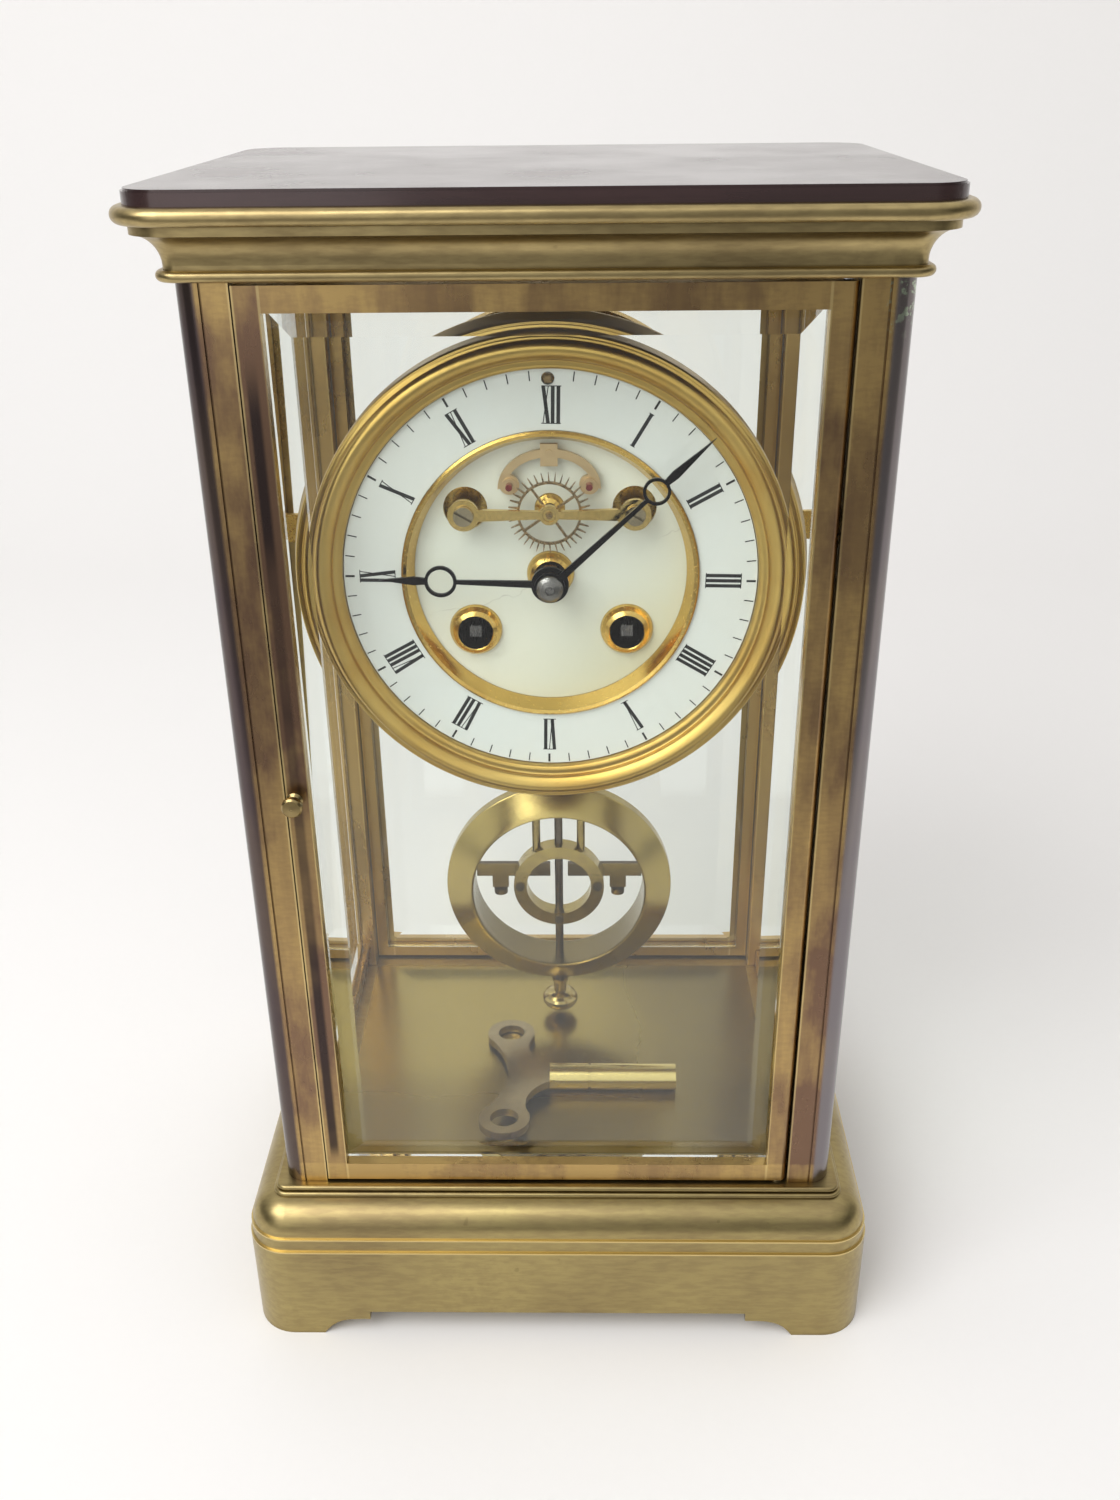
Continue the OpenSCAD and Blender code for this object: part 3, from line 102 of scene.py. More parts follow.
# The bezel's face from its lip outwards, as shares of its width and millimetres: first the step, measured
# from the dial's face, then the roll, measured from the bezel's front
BEZEL_STEP = ((0.0, 1.5), (0.0, -0.9), (0.09, -1.7), (0.25, -1.95), (0.31, -3.0))
BEZEL_ROLL = ((0.47, 0.25), (0.62, 0.0), (0.75, 0.55), (0.8, 1.5), (0.9, 1.85), (1.0, 2.75))
BEZEL_LIP_GAP = 0.2 * MM
BEZEL_WALL = 1.4 * MM
# Half the bob's thickness at its rim, the rim's rounding, the flat beside the hollow and its rounding
BOB_RIM, BOB_RIM_ROUND, BOB_FLAT, BOB_LIP_ROUND = 2.0 * MM, 0.4 * MM, 1.2 * MM, 0.5 * MM
PROFILE_STEPS, BEZEL_AROUND, BOB_AROUND = 8, 256, 192

# Zones of a finish: rows of an axis, a start and an end on it, and the shares there, which are 0 and 1 where
# none are given. First where the inner floor is darker, then where the uprights are rubbed golden, or kept
# brown by a share below nought
DARKER_FLOOR_ZONES = {
    "right": ("X", -4 * MM, floor_high[0] - 12 * MM),
    "front": ("Y", floor_low[1] + 16 * MM, floor_low[1] + 42 * MM, 0.7, 0.0),
}
RUBBED_ZONES = {
    "foot": ("Z", DOOR_FOOT + 3 * MM, DOOR_FOOT + 50 * MM, 0.06, 0.0),
    "sill": ("Z", DOOR_FOOT + 5 * MM, DOOR_FOOT + 6 * MM, 0.4, 0.0),
    "head": ("Z", DOOR_HEAD - 14 * MM, DOOR_HEAD - 3 * MM, 0.0, 0.3),
    "left pillars": ("X", DOOR_LEFT - 0.4 * MM, DOOR_LEFT, 0.25, 0.0),
    "left stiles": ("X", DOOR_LEFT + STILE, DOOR_LEFT + STILE + 0.5 * MM, -0.3, 0.0),
    "rear": ("Y", -10 * MM, 10 * MM, 0.0, 0.4),
}
RIGHT_PILLARS = (
    ("X", DOOR_RIGHT, DOOR_RIGHT + 0.4 * MM),
    ("Z", DOOR_FOOT + 10 * MM, DOOR_HEAD - 40 * MM, -0.45, 0.3),
)
DARK_BAND = (
    ("X", DOOR_LEFT + 0.9 * MM, DOOR_LEFT + 1.6 * MM),
    ("X", DOOR_LEFT + 3 * MM, DOOR_LEFT + 4 * MM, 1.0, 0.0),
    ("Z", DOOR_FOOT + 6 * MM, DOOR_FOOT + 12 * MM),
    ("Z", DOOR_HEAD - 26 * MM, DOOR_HEAD - 12 * MM, 1.0, 0.0),
)
GREEN_BLOOM = (
    ("Z", DOOR_HEAD - 12 * MM, DOOR_HEAD - 4 * MM),
    ("X", DOOR_RIGHT + 5 * MM, DOOR_RIGHT + 6 * MM),
)
# Starts and ends away from the clock's middle: along Y to the case's front and back, along X to its corners
CASE_ENDS = (-DOOR_FRONT - 9 * MM, -DOOR_FRONT - 4 * MM)
CASE_CORNERS = (DOOR_RIGHT + 6.6 * MM, DOOR_RIGHT + 7.6 * MM)
# Places along X of the uprights' edges, which get a painted highlight
HIGHLIGHT_EDGES = (DOOR_RIGHT - STILE, DOOR_RIGHT - 0.1 * MM, DOOR_RIGHT + DOOR_GAP + 0.1 * MM)
# The painted highlight beside an upright's edge and beside a ledge of the base, which stands in for the light
# that a rounded edge catches: where it starts to fade, where it ends, and its share
EDGE_HIGHLIGHT = (0.15 * MM, 0.4 * MM, 0.6)
LEDGE_HIGHLIGHT = (0.2 * MM, 0.6 * MM, 0.8)
# The share of gold on the uprights' inner faces
INNER_GOLD = 0.6
# How far right and down of the dial's centre the cream warms, and its shares there
WARM_SLANT = (6 * MM, 44 * MM, 0.0, 0.9)


# Settings


def number(name, description, value, **kind):
    """A number setting with its name, description, default, and its unit or subtype."""
    return FloatProperty(name=name, description=description, default=value, **kind)


def length(name, description, value):
    """A length setting with its name, description and default."""
    return number(name, description, value, unit="LENGTH")


def angle(name, description, degrees):
    """An angle setting with its name, description and default."""
    return number(name, description, math.radians(degrees), subtype="ANGLE")


def colour(name, description, value):
    """A colour setting with its name, description and default."""
    return FloatVectorProperty(
        name=name, description=description, subtype="COLOR", size=3, min=0, max=1, default=value
    )


def spot(name, description, value):
    """A place setting with its name, description and default."""
    return FloatVectorProperty(
        name=name, description=description, subtype="TRANSLATION", size=3, default=value
    )


class DialSizes(bpy.types.PropertyGroup):
    """Sizes of what is painted on the chapter ring."""

    numeral_foot: length("Numeral foot", "Radius of the numerals' inner ends", 34.9 * MM)
    numeral_top: length("Numeral top", "Radius of the numerals' outer ends", 42.8 * MM)
    stroke: length("Stroke", "Width of a thick stroke", 0.8 * MM)
    hairline: length("Hairline", "Width of a hairline stroke", 0.2 * MM)
    pitch: length("Pitch", "Distance between two upright strokes", 1.2 * MM)
    tick_in: length("Tick start", "Radius of the minute marks' inner ends", 44.0 * MM)
    tick_out: length("Tick end", "Radius of the minute marks' outer ends", 46.1 * MM)
    tick: length("Tick width", "Width of a minute mark", 0.26 * MM)
    hour_tick: length("Hour tick width", "Width of the mark at an hour", 0.5 * MM)
    # Painted shade: the winding holes are painted black within this radius
    winding_hole: length("Winding hole", "Radius of the dark bore round a winding square", 4.0 * MM)
    turn: angle("Turn", "How far the painted dial sits turned clockwise", 1.0)
    paint: length("Paint", "How far the paint stands on the enamel", 0.03 * MM)


class ClockColours(bpy.types.PropertyGroup):
    """Colours of the clock's metals, glass and enamel."""

    brass: colour("Case brass", "Aged satin brass of the base", (0.42, 0.335, 0.145))
    cornice: colour("Cornice brass", "Browner satin brass of the cornice", (0.48, 0.375, 0.175))
    brass_dull: colour("Dull brass", "Tarnish on the case brass", (0.29, 0.22, 0.105))
    floor: colour("Floor brass", "Satin brass of the inner floor", (0.41, 0.315, 0.105))
    # Colour in which the inner floor is painted darker towards its right and front
    floor_darker: colour("Dull floor", "Tarnish on the inner floor", (0.185, 0.142, 0.072))
    patina: colour("Patina", "Brown patina of the uprights", (0.205, 0.125, 0.083))
    patina_dark: colour("Dark patina", "Dark band down the left stile", (0.05, 0.037, 0.036))
    # Painted reflections on the pillars' rounded outer corners: dark on the left, pale on the right
    corner: colour("Left corners", "Dark violet of the left pillars' outer corners", (0.075, 0.06, 0.066))
    corner_pale: colour("Right corners", "Blue grey of the right pillars' outer corners", (0.22, 0.205, 0.22))
    rail: colour("Rail brass", "Golden brass where the patina is rubbed away", (0.54, 0.37, 0.15))
    # Painted highlight: bright brass along the uprights' edges and the base's ledges, standing in for light
    # caught by rounded edges
    highlight_brass: colour("Rubbed edges", "Bright brass where an edge is rubbed", (0.80, 0.63, 0.29))
    verdigris: colour("Verdigris", "Green bloom near a pillar's top", (0.55, 0.66, 0.48))
    top: colour("Top plate", "Dark bronzed top", (0.042, 0.022, 0.022))
    top_worn: colour("Worn top", "Brown clouds in the top's bronze", (0.07, 0.038, 0.03))
    gilt: colour("Gilt", "Bright gilt brass of the dial's rings and the movement", (0.72, 0.49, 0.14))
    gilt_dull: colour("Dull gilt", "Clouds in the gilt", (0.50, 0.29, 0.06))
    bezel: colour("Bezel", "Satin gilt of the bezel", (0.59, 0.41, 0.125))
    bob: colour("Pendulum brass", "Lacquered brass of the pendulum", (0.43, 0.33, 0.12))
    lever: colour("Levers", "Dark brown steel of the pendulum's levers and middle rod", (0.13, 0.105, 0.08))
    key: colour("Key wings", "Worn brown brass of the key's wings", (0.36, 0.28, 0.155))
    tube: colour("Key tube", "Rubbed brass of the key's tube", (0.68, 0.55, 0.22))
    knob: colour("Knobs", "Dull brass of the doors' knobs", (0.36, 0.27, 0.12))
    cock: colour("Cock", "Bright gilt of the escape wheel's cock", (0.86, 0.63, 0.24))
    escape: colour("Escape wheel", "Brown gilt of the escape wheel", (0.36, 0.25, 0.13))
    yoke: colour("Pallets", "Pale brown gilt of the pallet yoke", (0.66, 0.49, 0.28))
    bell: colour("Bell metal", "Polished bell", (0.68, 0.50, 0.22))
    steel: colour("Steel", "Polished steel", (0.42, 0.42, 0.43))
    shaft: colour("Shafts", "Dark steel of the winding squares and the centre arbor", (0.25, 0.24, 0.24))
    screw: colour("Screws", "Straw-coloured steel of the cock's screws", (0.52, 0.44, 0.30))
    nut: colour("Hand nut", "Darker steel of the hand nut", (0.24, 0.23, 0.225))
    hands: colour("Hands", "Dark blued steel", (0.010, 0.009, 0.012))
    ring: colour("Chapter ring", "White enamel", (0.75, 0.765, 0.735))
    ring_shade: colour("Ring shade", "Faint blue clouds in the white enamel", (0.74, 0.79, 0.80))
    centre: colour("Dial centre", "Cream enamel", (0.77, 0.785, 0.71))
    centre_shade: colour("Centre shade", "Faint warm clouds in the cream enamel", (0.78, 0.74, 0.58))
    centre_warm: colour("Warm enamel", "Cream of the centre's lower right", (0.64, 0.615, 0.45))
    crack: colour("Cracks", "Hairline cracks in the enamel", (0.30, 0.27, 0.22))
    ink: colour("Ink", "Black fired paint of the numerals", (0.008, 0.008, 0.010))
    ink_worn: colour("Worn ink", "Grey where the paint is thin", (0.05, 0.05, 0.055))
    jewel: colour("Jewel", "Ruby of the pallets", (0.13, 0.010, 0.010))
    bore: colour("Bores", "Unlit depth of the winding holes", (0.006, 0.005, 0.006))
    pane: colour("Pane", "Clear glass with a faint green", (0.965, 0.99, 0.965))


class StudioSettings(bpy.types.PropertyGroup):
    """The floor, the lamps and the camera."""

    floor: colour("Floor", "Pale seamless paper", (0.94, 0.925, 0.915))
    light: colour("Light", "Tint of the room's light", (1.0, 0.995, 0.985))
    key_power: number("Key", "Power of the large lamp", 11.0, unit="POWER")
    key_size: length("Key size", "Side of the large lamp", 0.9)
    key_place: spot("Key place", "Place of the large lamp", (-0.62, -0.7, 1.12))
    front_power: number("Front", "Power of the low front lamp", 0.8, unit="POWER")
    front_size: length("Front size", "Side of the low front lamp", 0.5)
    front_place: spot("Front place", "Place of the low front lamp", (-0.35, -0.78, 0.36))
    aim: spot("Aim", "Middle of the clock, which the lamps face", (0.0, 0.0, 0.14))
    ambient: number("Ambient", "Strength of the room's light", 0.64)
    room: number("Room", "Brightness of the room before the clock", 0.3)
    overhead: number("Overhead", "Brightness of the room above the clock", 0.85)
    sides: number("Sides", "Share of the room's brightness at its sides", 0.3)
    lens: number("Lens", "Focal length in millimetres", 33.39)
    eye: spot("Eye", "Place of the camera", (7.51 * MM, -332.79 * MM, 311.87 * MM))
    yaw: angle("Yaw", "Turn to the right", -1.11)
    pitch: angle("Pitch", "Tilt downwards", 26.676)
    roll: angle("Roll", "Turn about the line of sight", 0.606)


def scaled(tone, share):
    """A colour made lighter or darker by a share."""
    return tuple(share * part for part in tone)


def hue(name, share=1.0):
    """One of the clock's colours, made lighter or darker by a share."""
    return scaled(getattr(bpy.context.scene.clock_colours, name), share)


# Meshes from arrays


def mesh_piece(name, points, faces, uv=None, smooth=True):
    """Make a mesh object at the origin from point and face arrays, with an optional UV per corner."""
    mesh = bpy.data.meshes.new(name)
    mesh.from_pydata(points.tolist(), [], faces.tolist())
    if smooth:
        mesh.shade_smooth()
    if uv is not None:
        layer = mesh.uv_layers.new(name="turning")
        layer.data.foreach_set("uv", uv.astype(np.float32).ravel())
    mesh.validate()
    piece = bpy.data.objects.new(name, mesh)
    bpy.context.collection.objects.link(piece)
    return piece


def stroke_blocks(starts, ends, across, widths, front, back):
    """Blocks over slanted strokes on the dial, with one row per stroke in each array: the corners are the
    stroke's start and end, plus and minus half its width times its unit vector across, and each block
    reaches from front to back along Y."""
    side = across * widths / 2
    corners = np.stack([starts - side, starts + side, ends + side, ends - side], axis=1)
    count = len(corners)
    near, far = (
        np.concatenate([corners[..., :1], np.full((count, 4, 1), depth), corners[..., 1:]], axis=2)
        for depth in (front, back)
    )
    points = np.concatenate([near, far], axis=1).reshape(-1, 3)
    block = np.array([[0, 1, 2, 3], [7, 6, 5, 4], [0, 4, 5, 1], [1, 5, 6, 2], [2, 6, 7, 3], [3, 7, 4, 0]])
    faces = (block[None] + 8 * np.arange(count)[:, None, None]).reshape(-1, 4)
    return points, faces


def dial_directions(turns, sizes):
    """Unit vectors outwards and across on the dial, at shares of a turn clockwise from the twelve:
    (cos, sin) and (sin, -cos) of the angle from X."""
    angles = np.pi / 2 - 2 * np.pi * turns - sizes.turn
    out = np.stack([np.cos(angles), np.sin(angles)], axis=1)
    return out, np.stack([np.sin(angles), -np.cos(angles)], axis=1)


def numeral_strokes(sizes):
    """Each stroke of the numerals as a row: its hour, its start across and outwards, its end across and
    outwards, and its width. The letters stand side by side, and hairlines close each word's foot and top."""
    rows = []
    for hour, word in enumerate(NUMERALS, start=1):
        width = sizes.pitch * sum(LETTERS[letter][0] for letter in word)
        edge = -width / 2
        for letter in word:
            share, strokes = LETTERS[letter]
            middle = edge + sizes.pitch * share / 2
            for foot, top, thick in strokes:
                start = (middle + foot * sizes.pitch, sizes.numeral_foot)
                end = (middle + top * sizes.pitch, sizes.numeral_top)
                rows.append((hour, *start, *end, sizes.stroke if thick else sizes.hairline))
            edge += sizes.pitch * share
        for level in (sizes.numeral_foot, sizes.numeral_top):
            rows.append((hour, 0.0, level - sizes.hairline / 2, 0.0, level + sizes.hairline / 2, width))
    return np.array(rows)


def smooth_profile(points):
    """A curve through the given points: a Catmull-Rom spline, a cubic blend of each four neighbours,
    with even samples in each span and its ends repeated."""
    held = np.vstack([points[:1], points, points[-1:]])
    t = np.linspace(0, 1, PROFILE_STEPS, endpoint=False)[:, None]
    a, b, c, d = (held[i : len(held) - 3 + i][:, None, :] for i in range(4))
    spans = 0.5 * (2 * b + (c - a) * t + (2 * a - 5 * b + 4 * c - d) * t**2 + (3 * b - a - 3 * c + d) * t**3)
    return np.vstack([spans.reshape(-1, 2), points[-1:]])


def turned_piece(name, profile, centre, around):
    """A closed profile of (radius, depth) rows carried round an axis along Y through the centre:
    x = radius * cos(angle), z = radius * sin(angle), with the profile's last row joined to its first."""
    rows, angles = len(profile), np.linspace(0, 2 * np.pi, around, endpoint=False)
    radius, depth = profile[:, :1], profile[:, 1:]
    x, z = centre[0] + radius * np.cos(angles), centre[2] + radius * np.sin(angles)
    grid = np.stack([x, np.broadcast_to(depth, (rows, around)), z], axis=2)
    row, col = np.meshgrid(np.arange(rows), np.arange(around), indexing="ij")
    next_row, next_col = (row + 1) % rows, (col + 1) % around
    quads = np.stack(
        [row * around + col, row * around + next_col, next_row * around + next_col, next_row * around + col],
        axis=2,
    )
    u = np.stack([col, col + 1, col + 1, col], axis=2) / around
    v = np.stack([row, row, row + 1, row + 1], axis=2) / rows
    uv = np.stack([u, v], axis=3)
    return mesh_piece(name, grid.reshape(-1, 3), quads.reshape(-1, 4), uv.reshape(-1, 2))


# Node building


def add(tree, kind, inputs=None, **settings):
    """Add a node with its settings, and fill its inputs with values or links."""
    node = tree.nodes.new(kind)
    for key, value in settings.items():
        setattr(node, key, value)
    for key, value in (inputs or {}).items():
        feed(tree, node.inputs[key], value)
    return node


def feed(tree, socket, value):
    """Link a socket to an output, or set its value; a three-part colour gets an alpha of one."""
    if isinstance(value, bpy.types.NodeSocket):
        tree.links.new(value, socket)
    elif socket.type == "RGBA" and len(value) == 3:
        socket.default_value = (*value, 1.0)
    else:
        socket.default_value = value


def fill(tree, shader, **values):
    """Fill a shader's inputs, named in small letters, with values or links."""
    for key, value in values.items():
        feed(tree, shader.inputs[key.replace("_", " ").title().replace("Ior", "IOR")], value)


def new_finish(name, **constants):
    """A material with its tree and its Principled shader, whose constant inputs are set by name."""
    finish = bpy.data.materials.new(name)
    finish.use_nodes = True
    tree = finish.node_tree
    shader = tree.nodes["Principled BSDF"]
    fill(tree, shader, **constants)
    return finish, tree, shader


def vectors(tree, operation, a, b):
    """One operation on two vectors."""
    return add(tree, "ShaderNodeVectorMath", {0: a, 1: b}, operation=operation).outputs


def object_point(tree, stretch=(1, 1, 1), origin=(0, 0, 0)):
    """The surface point in the clock's own frame, moved to an origin and stretched."""
    point = add(tree, "ShaderNodeTexCoord").outputs["Object"]
    moved = vectors(tree, "SUBTRACT", point, tuple(origin))[0]
    return vectors(tree, "MULTIPLY", moved, stretch)[0]


def axis_parts(tree, point=None):
    """The three parts of a point, or of the surface point if none is given."""
    held = object_point(tree) if point is None else point
    return add(tree, "ShaderNodeSeparateXYZ", {"Vector": held}).outputs


def noise(tree, point, scale, detail=4.0, roughness=0.55):
    """Cloudy noise over a point, from nought to one, with its scale per metre."""
    inputs = {"Vector": point, "Scale": scale, "Detail": detail, "Roughness": roughness}
    return add(tree, "ShaderNodeTexNoise", inputs).outputs["Fac"]


def spread(tree, value, low, high, to_low=0.0, to_high=1.0):
    """Carry a value from one range to another, clamped and eased at both ends."""
    inputs = {"Value": value, "From Min": low, "From Max": high, "To Min": to_low, "To Max": to_high}
    return add(tree, "ShaderNodeMapRange", inputs, interpolation_type="SMOOTHSTEP").outputs["Result"]


def maths(tree, operation, first, *others):
    """One operation on several values in turn."""
    for other in others:
        first = add(tree, "ShaderNodeMath", {0: first, 1: other}, operation=operation).outputs[0]
    return first


def alone(tree, operation, value):
    """One operation on a single value."""
    return add(tree, "ShaderNodeMath", {0: value}, operation=operation).outputs[0]


def zone(tree, parts, rows):
    """The product of the shares that the rows give at a point."""
    return maths(tree, "MULTIPLY", *(spread(tree, parts[axis], *limits) for axis, *limits in rows))


def near(tree, value, level, start, end, share):
    """A share where a value is at a level, down to nought between two distances from it."""
    off = alone(tree, "ABSOLUTE", maths(tree, "SUBTRACT", value, level))
    return spread(tree, off, start, end, share, 0.0)


def choose(tree, share, a, b):
    """A value between two others."""
    return add(tree, "ShaderNodeMix", {0: share, 2: a, 3: b}, data_type="FLOAT").outputs[0]


def blend(tree, share, a, b):
    """A colour between two others."""
    return add(tree, "ShaderNodeMix", {0: share, 6: a, 7: b}, data_type="RGBA").outputs[2]


def tinted(tree, metal, tone, value, *limits):
    """A metal with another tone over it, by the share that a value gives between two limits."""
    return blend(tree, spread(tree, value, *limits), metal, tone)


def dent(tree, height, strength, distance):
    """A surface normal bent by a height."""
    inputs = {"Strength": strength, "Distance": distance, "Height": height}
    return add(tree, "ShaderNodeBump", inputs).outputs[0]


def recess_shade(tree, distance, share=1.0):
    """The share of painted shade: high in recesses and nought on open faces, from what stands within the
    distance.
    """
    open_share = add(tree, "ShaderNodeAmbientOcclusion", {"Distance": distance}, samples=8).outputs["AO"]
    return maths(tree, "MULTIPLY", spread(tree, open_share, 0.45, 0.9, 1.0, 0.0), share)


# Finishes. A finish's local changes its tone at some places, as a function of the tree and the tone so far


def unchanged(tree, tone):
    """The tone as it is."""
    return tone


def aged_brass(name, bright, dull, rough, spots=0.25, recess=1.6 * MM, local=unchanged):
    """Satin brass with cloudy tarnish, a fine mottle and grain, small dark spots and painted shade in
    grooves.
    """
    finish, tree, shader = new_finish(name, metallic=1.0)
    point = object_point(tree)
    cloud = spread(tree, noise(tree, point, 26.0, 5.0, 0.55), 0.3, 0.85)
    mottle = spread(tree, noise(tree, point, 420.0, 3.0, 0.6), 0.35, 0.7, 0.0, 0.3)
    speck = spread(tree, noise(tree, point, 230.0, 2.0, 0.5), 0.72, 0.77, 0.0, spots)
    along = noise(tree, object_point(tree, (0.2, 1.0, 1.0)), 900.0, 3.0, 0.6)
    grain = spread(tree, along, 0.35, 0.65, -0.1, 0.3)
    worn = maths(tree, "ADD", maths(tree, "MAXIMUM", cloud, mottle), grain)
    metal = local(tree, blend(tree, worn, bright, dull))
    metal = blend(tree, speck, metal, scaled(dull, 0.35))
    # Painted shade in the grooves
    metal = blend(tree, recess_shade(tree, recess, 0.3), metal, scaled(dull, 0.3))
    gloss = spread(tree, cloud, 0.0, 1.0, rough - 0.05, rough + 0.08)
    fill(tree, shader, base_color=metal, roughness=gloss)
    return finish


def satin_floor(name):
    """Smooth satin brass, faintly clouded, and darker towards the inner floor's right and front."""
    finish, tree, shader = new_finish(name, metallic=1.0)
    point = object_point(tree)
    parts = axis_parts(tree, point)
    cloud = spread(tree, noise(tree, point, 34.0, 4.0, 0.5), 0.3, 0.7, 0.75, 1.0)
    zones = (zone(tree, parts, [row]) for row in DARKER_FLOOR_ZONES.values())
    dull = maths(tree, "MULTIPLY", maths(tree, "MAXIMUM", *zones), cloud)
    metal = blend(tree, dull, hue("floor"), hue("floor_darker"))
    fill(tree, shader, base_color=metal, roughness=spread(tree, dull, 0.0, 1.0, 0.24, 0.32))
    return finish


def patinated_brass(name):
    """Brass browned in soft upright clouds with a fine grain across, and golden at the rails and the inner
    faces. Painted highlights run along the uprights' edges, and painted reflections make it dark and glossy
    round the left pillars' outer corners and pale round the right ones. It has a dark band down the left
    stiles, a green bloom near the right pillars' tops, and painted shade in its gaps and grooves."""
    finish, tree, shader = new_finish(name, metallic=1.0)
    point = object_point(tree)
    parts = axis_parts(tree, point)
    across, depth = (alone(tree, "ABSOLUTE", parts[axis]) for axis in "XY")
    patch = noise(tree, object_point(tree, (1.0, 1.0, 0.45)), 60.0, 5.0, 0.6)
    streak = noise(tree, object_point(tree, (1.0, 1.0, 0.1)), 330.0, 4.0, 0.6)
    grain = noise(tree, object_point(tree, (0.3, 1.0, 1.0)), 1100.0, 3.0, 0.6)

    facing = add(tree, "ShaderNodeTexCoord").outputs["Normal"]
    level = vectors(tree, "MULTIPLY", point, (1.0, 1.0, 0.0))[0]
    outward = vectors(tree, "DOT_PRODUCT", facing, level)["Value"]
    inner = spread(tree, outward, -4 * MM, 4 * MM, INNER_GOLD, 0.0)
    clouds = (spread(tree, patch, 0.38, 0.62, 0.0, 0.75), spread(tree, streak, 0.35, 0.65, 0.0, 0.2))
    zones = (zone(tree, parts, [row]) for row in RUBBED_ZONES.values())
    worn = maths(tree, "ADD", *clouds, inner, *zones, zone(tree, parts, RIGHT_PILLARS))
    worn = maths(tree, "MULTIPLY", worn, spread(tree, grain, 0.3, 0.7, 0.8, 1.0))

    patchy = spread(tree, noise(tree, object_point(tree, (0.3, 1.0, 0.35)), 45.0), 0.34, 0.5, 0.45, 0.95)
    outer = spread(tree, inner, 0.0, INNER_GOLD, 1.0, 0.0)
    band = maths(tree, "MULTIPLY", zone(tree, parts, DARK_BAND), patchy, outer)
    # Painted highlights along the edges of the stiles and the pillars, broken up by the patches
    edges = maths(tree, "MAXIMUM", *(near(tree, across, edge, *EDGE_HIGHLIGHT) for edge in HIGHLIGHT_EDGES))
    edges = maths(tree, "MULTIPLY", edges, spread(tree, patch, 0.3, 0.6, 0.35, 1.0))
    at_end = spread(tree, depth, *CASE_ENDS)
    # Painted reflection round the pillars' outer corners, dark on the left and pale on the right, and
    # glossier there
    corner = maths(tree, "MULTIPLY", spread(tree, across, *CASE_CORNERS, 0.0, 0.9), at_end)
    corner_tone = tinted(tree, hue("corner"), hue("corner_pale"), parts["X"], -10 * MM, 10 * MM)
    speckle = spread(tree, noise(tree, point, 420.0, 4.0, 0.6), 0.5, 0.57, 0.0, 0.85)
    bloom = maths(tree, "MULTIPLY", zone(tree, parts, GREEN_BLOOM), speckle, at_end)

    metal = blend(tree, worn, hue("patina"), hue("rail"))
    metal = blend(tree, band, metal, hue("patina_dark"))
    metal = blend(tree, edges, metal, hue("highlight_brass"))
    metal = blend(tree, corner, metal, corner_tone)
    metal = blend(tree, bloom, metal, hue("verdigris"))
    # Painted shade in the gaps and grooves
    metal = blend(tree, recess_shade(tree, 0.8 * MM, 0.6), metal, hue("patina", 0.45))
    gloss = choose(tree, corner, spread(tree, patch, 0.3, 0.7, 0.25, 0.36), 0.2)
    fill(tree, shader, base_color=metal, roughness=gloss, normal=dent(tree, grain, 0.06, 0.03 * MM))
    return finish


def bronzed_top(name):
    """Dark lacquered bronze with faint streaks along its length and browner clouds."""
    finish, tree, shader = new_finish(name, metallic=0.35, coat_weight=0.5, coat_roughness=0.12)
    streak = noise(tree, object_point(tree, (0.12, 1.0, 1.0)), 130.0, 5.0, 0.6)
    cloud = noise(tree, object_point(tree), 22.0, 5.0, 0.6)
    tone = tinted(tree, hue("top"), hue("top", 1.45), streak, 0.4, 0.7)
    tone = tinted(tree, tone, hue("top_worn"), cloud, 0.5, 0.75, 0.0, 0.6)
    gloss = spread(tree, cloud, 0.3, 0.7, 0.16, 0.3)
    fill(tree, shader, base_color=tone, roughness=gloss, normal=dent(tree, streak, 0.04, 0.05 * MM))
    return finish


def gilt_brass(name, bright, dull, rough=0.2, recess=1.0 * MM, brushed=0.06, local=unchanged):
    """Bright gilt brass, faintly clouded, with painted shade in its recesses and a fine brushed grain."""
    finish, tree, shader = new_finish(name, metallic=1.0)
    point = object_point(tree)
    fine = noise(tree, point, 1400.0, 3.0, 0.6)
    metal = tinted(tree, bright, dull, noise(tree, point, 60.0, 5.0, 0.6), 0.42, 0.74, 0.0, 0.55)
    # Painted shade in the recesses
    metal = local(tree, blend(tree, recess_shade(tree, recess, 0.8), metal, scaled(dull, 0.3)))
    gloss = spread(tree, fine, 0.3, 0.7, rough - 0.05, rough + 0.08)
    fill(tree, shader, base_color=metal, roughness=gloss, normal=dent(tree, fine, brushed, 0.02 * MM))
    return finish


def turned_brass(name, bright, dull, rough, rings=0.35, local=unchanged):
    """Brass with the lathe's marks: its gloss is drawn out across the turning, and fine rings run round."""
    finish, tree, shader = new_finish(name, metallic=1.0, anisotropic=0.7)
    around = add(tree, "ShaderNodeTangent", direction_type="UV_MAP", uv_map="turning").outputs[0]
    seam = add(tree, "ShaderNodeUVMap", uv_map="turning").outputs[0]
    ring = noise(tree, vectors(tree, "MULTIPLY", seam, (2.0, 420.0, 0.0))[0], 1.0, 2.0, 0.5)
    metal = tinted(tree, bright, dull, noise(tree, object_point(tree), 45.0, 5.0, 0.6), 0.4, 0.75, 0.0, 0.7)
    metal = local(tree, tinted(tree, metal, dull, ring, 0.4, 0.75, 0.0, rings))
    gloss = spread(tree, ring, 0.3, 0.7, rough - 0.1 * rings, rough + 0.2 * rings)
    bent = dent(tree, ring, 0.12 * rings, 0.02 * MM)
    fill(tree, shader, base_color=metal, roughness=gloss, normal=bent, tangent=around)
    return finish


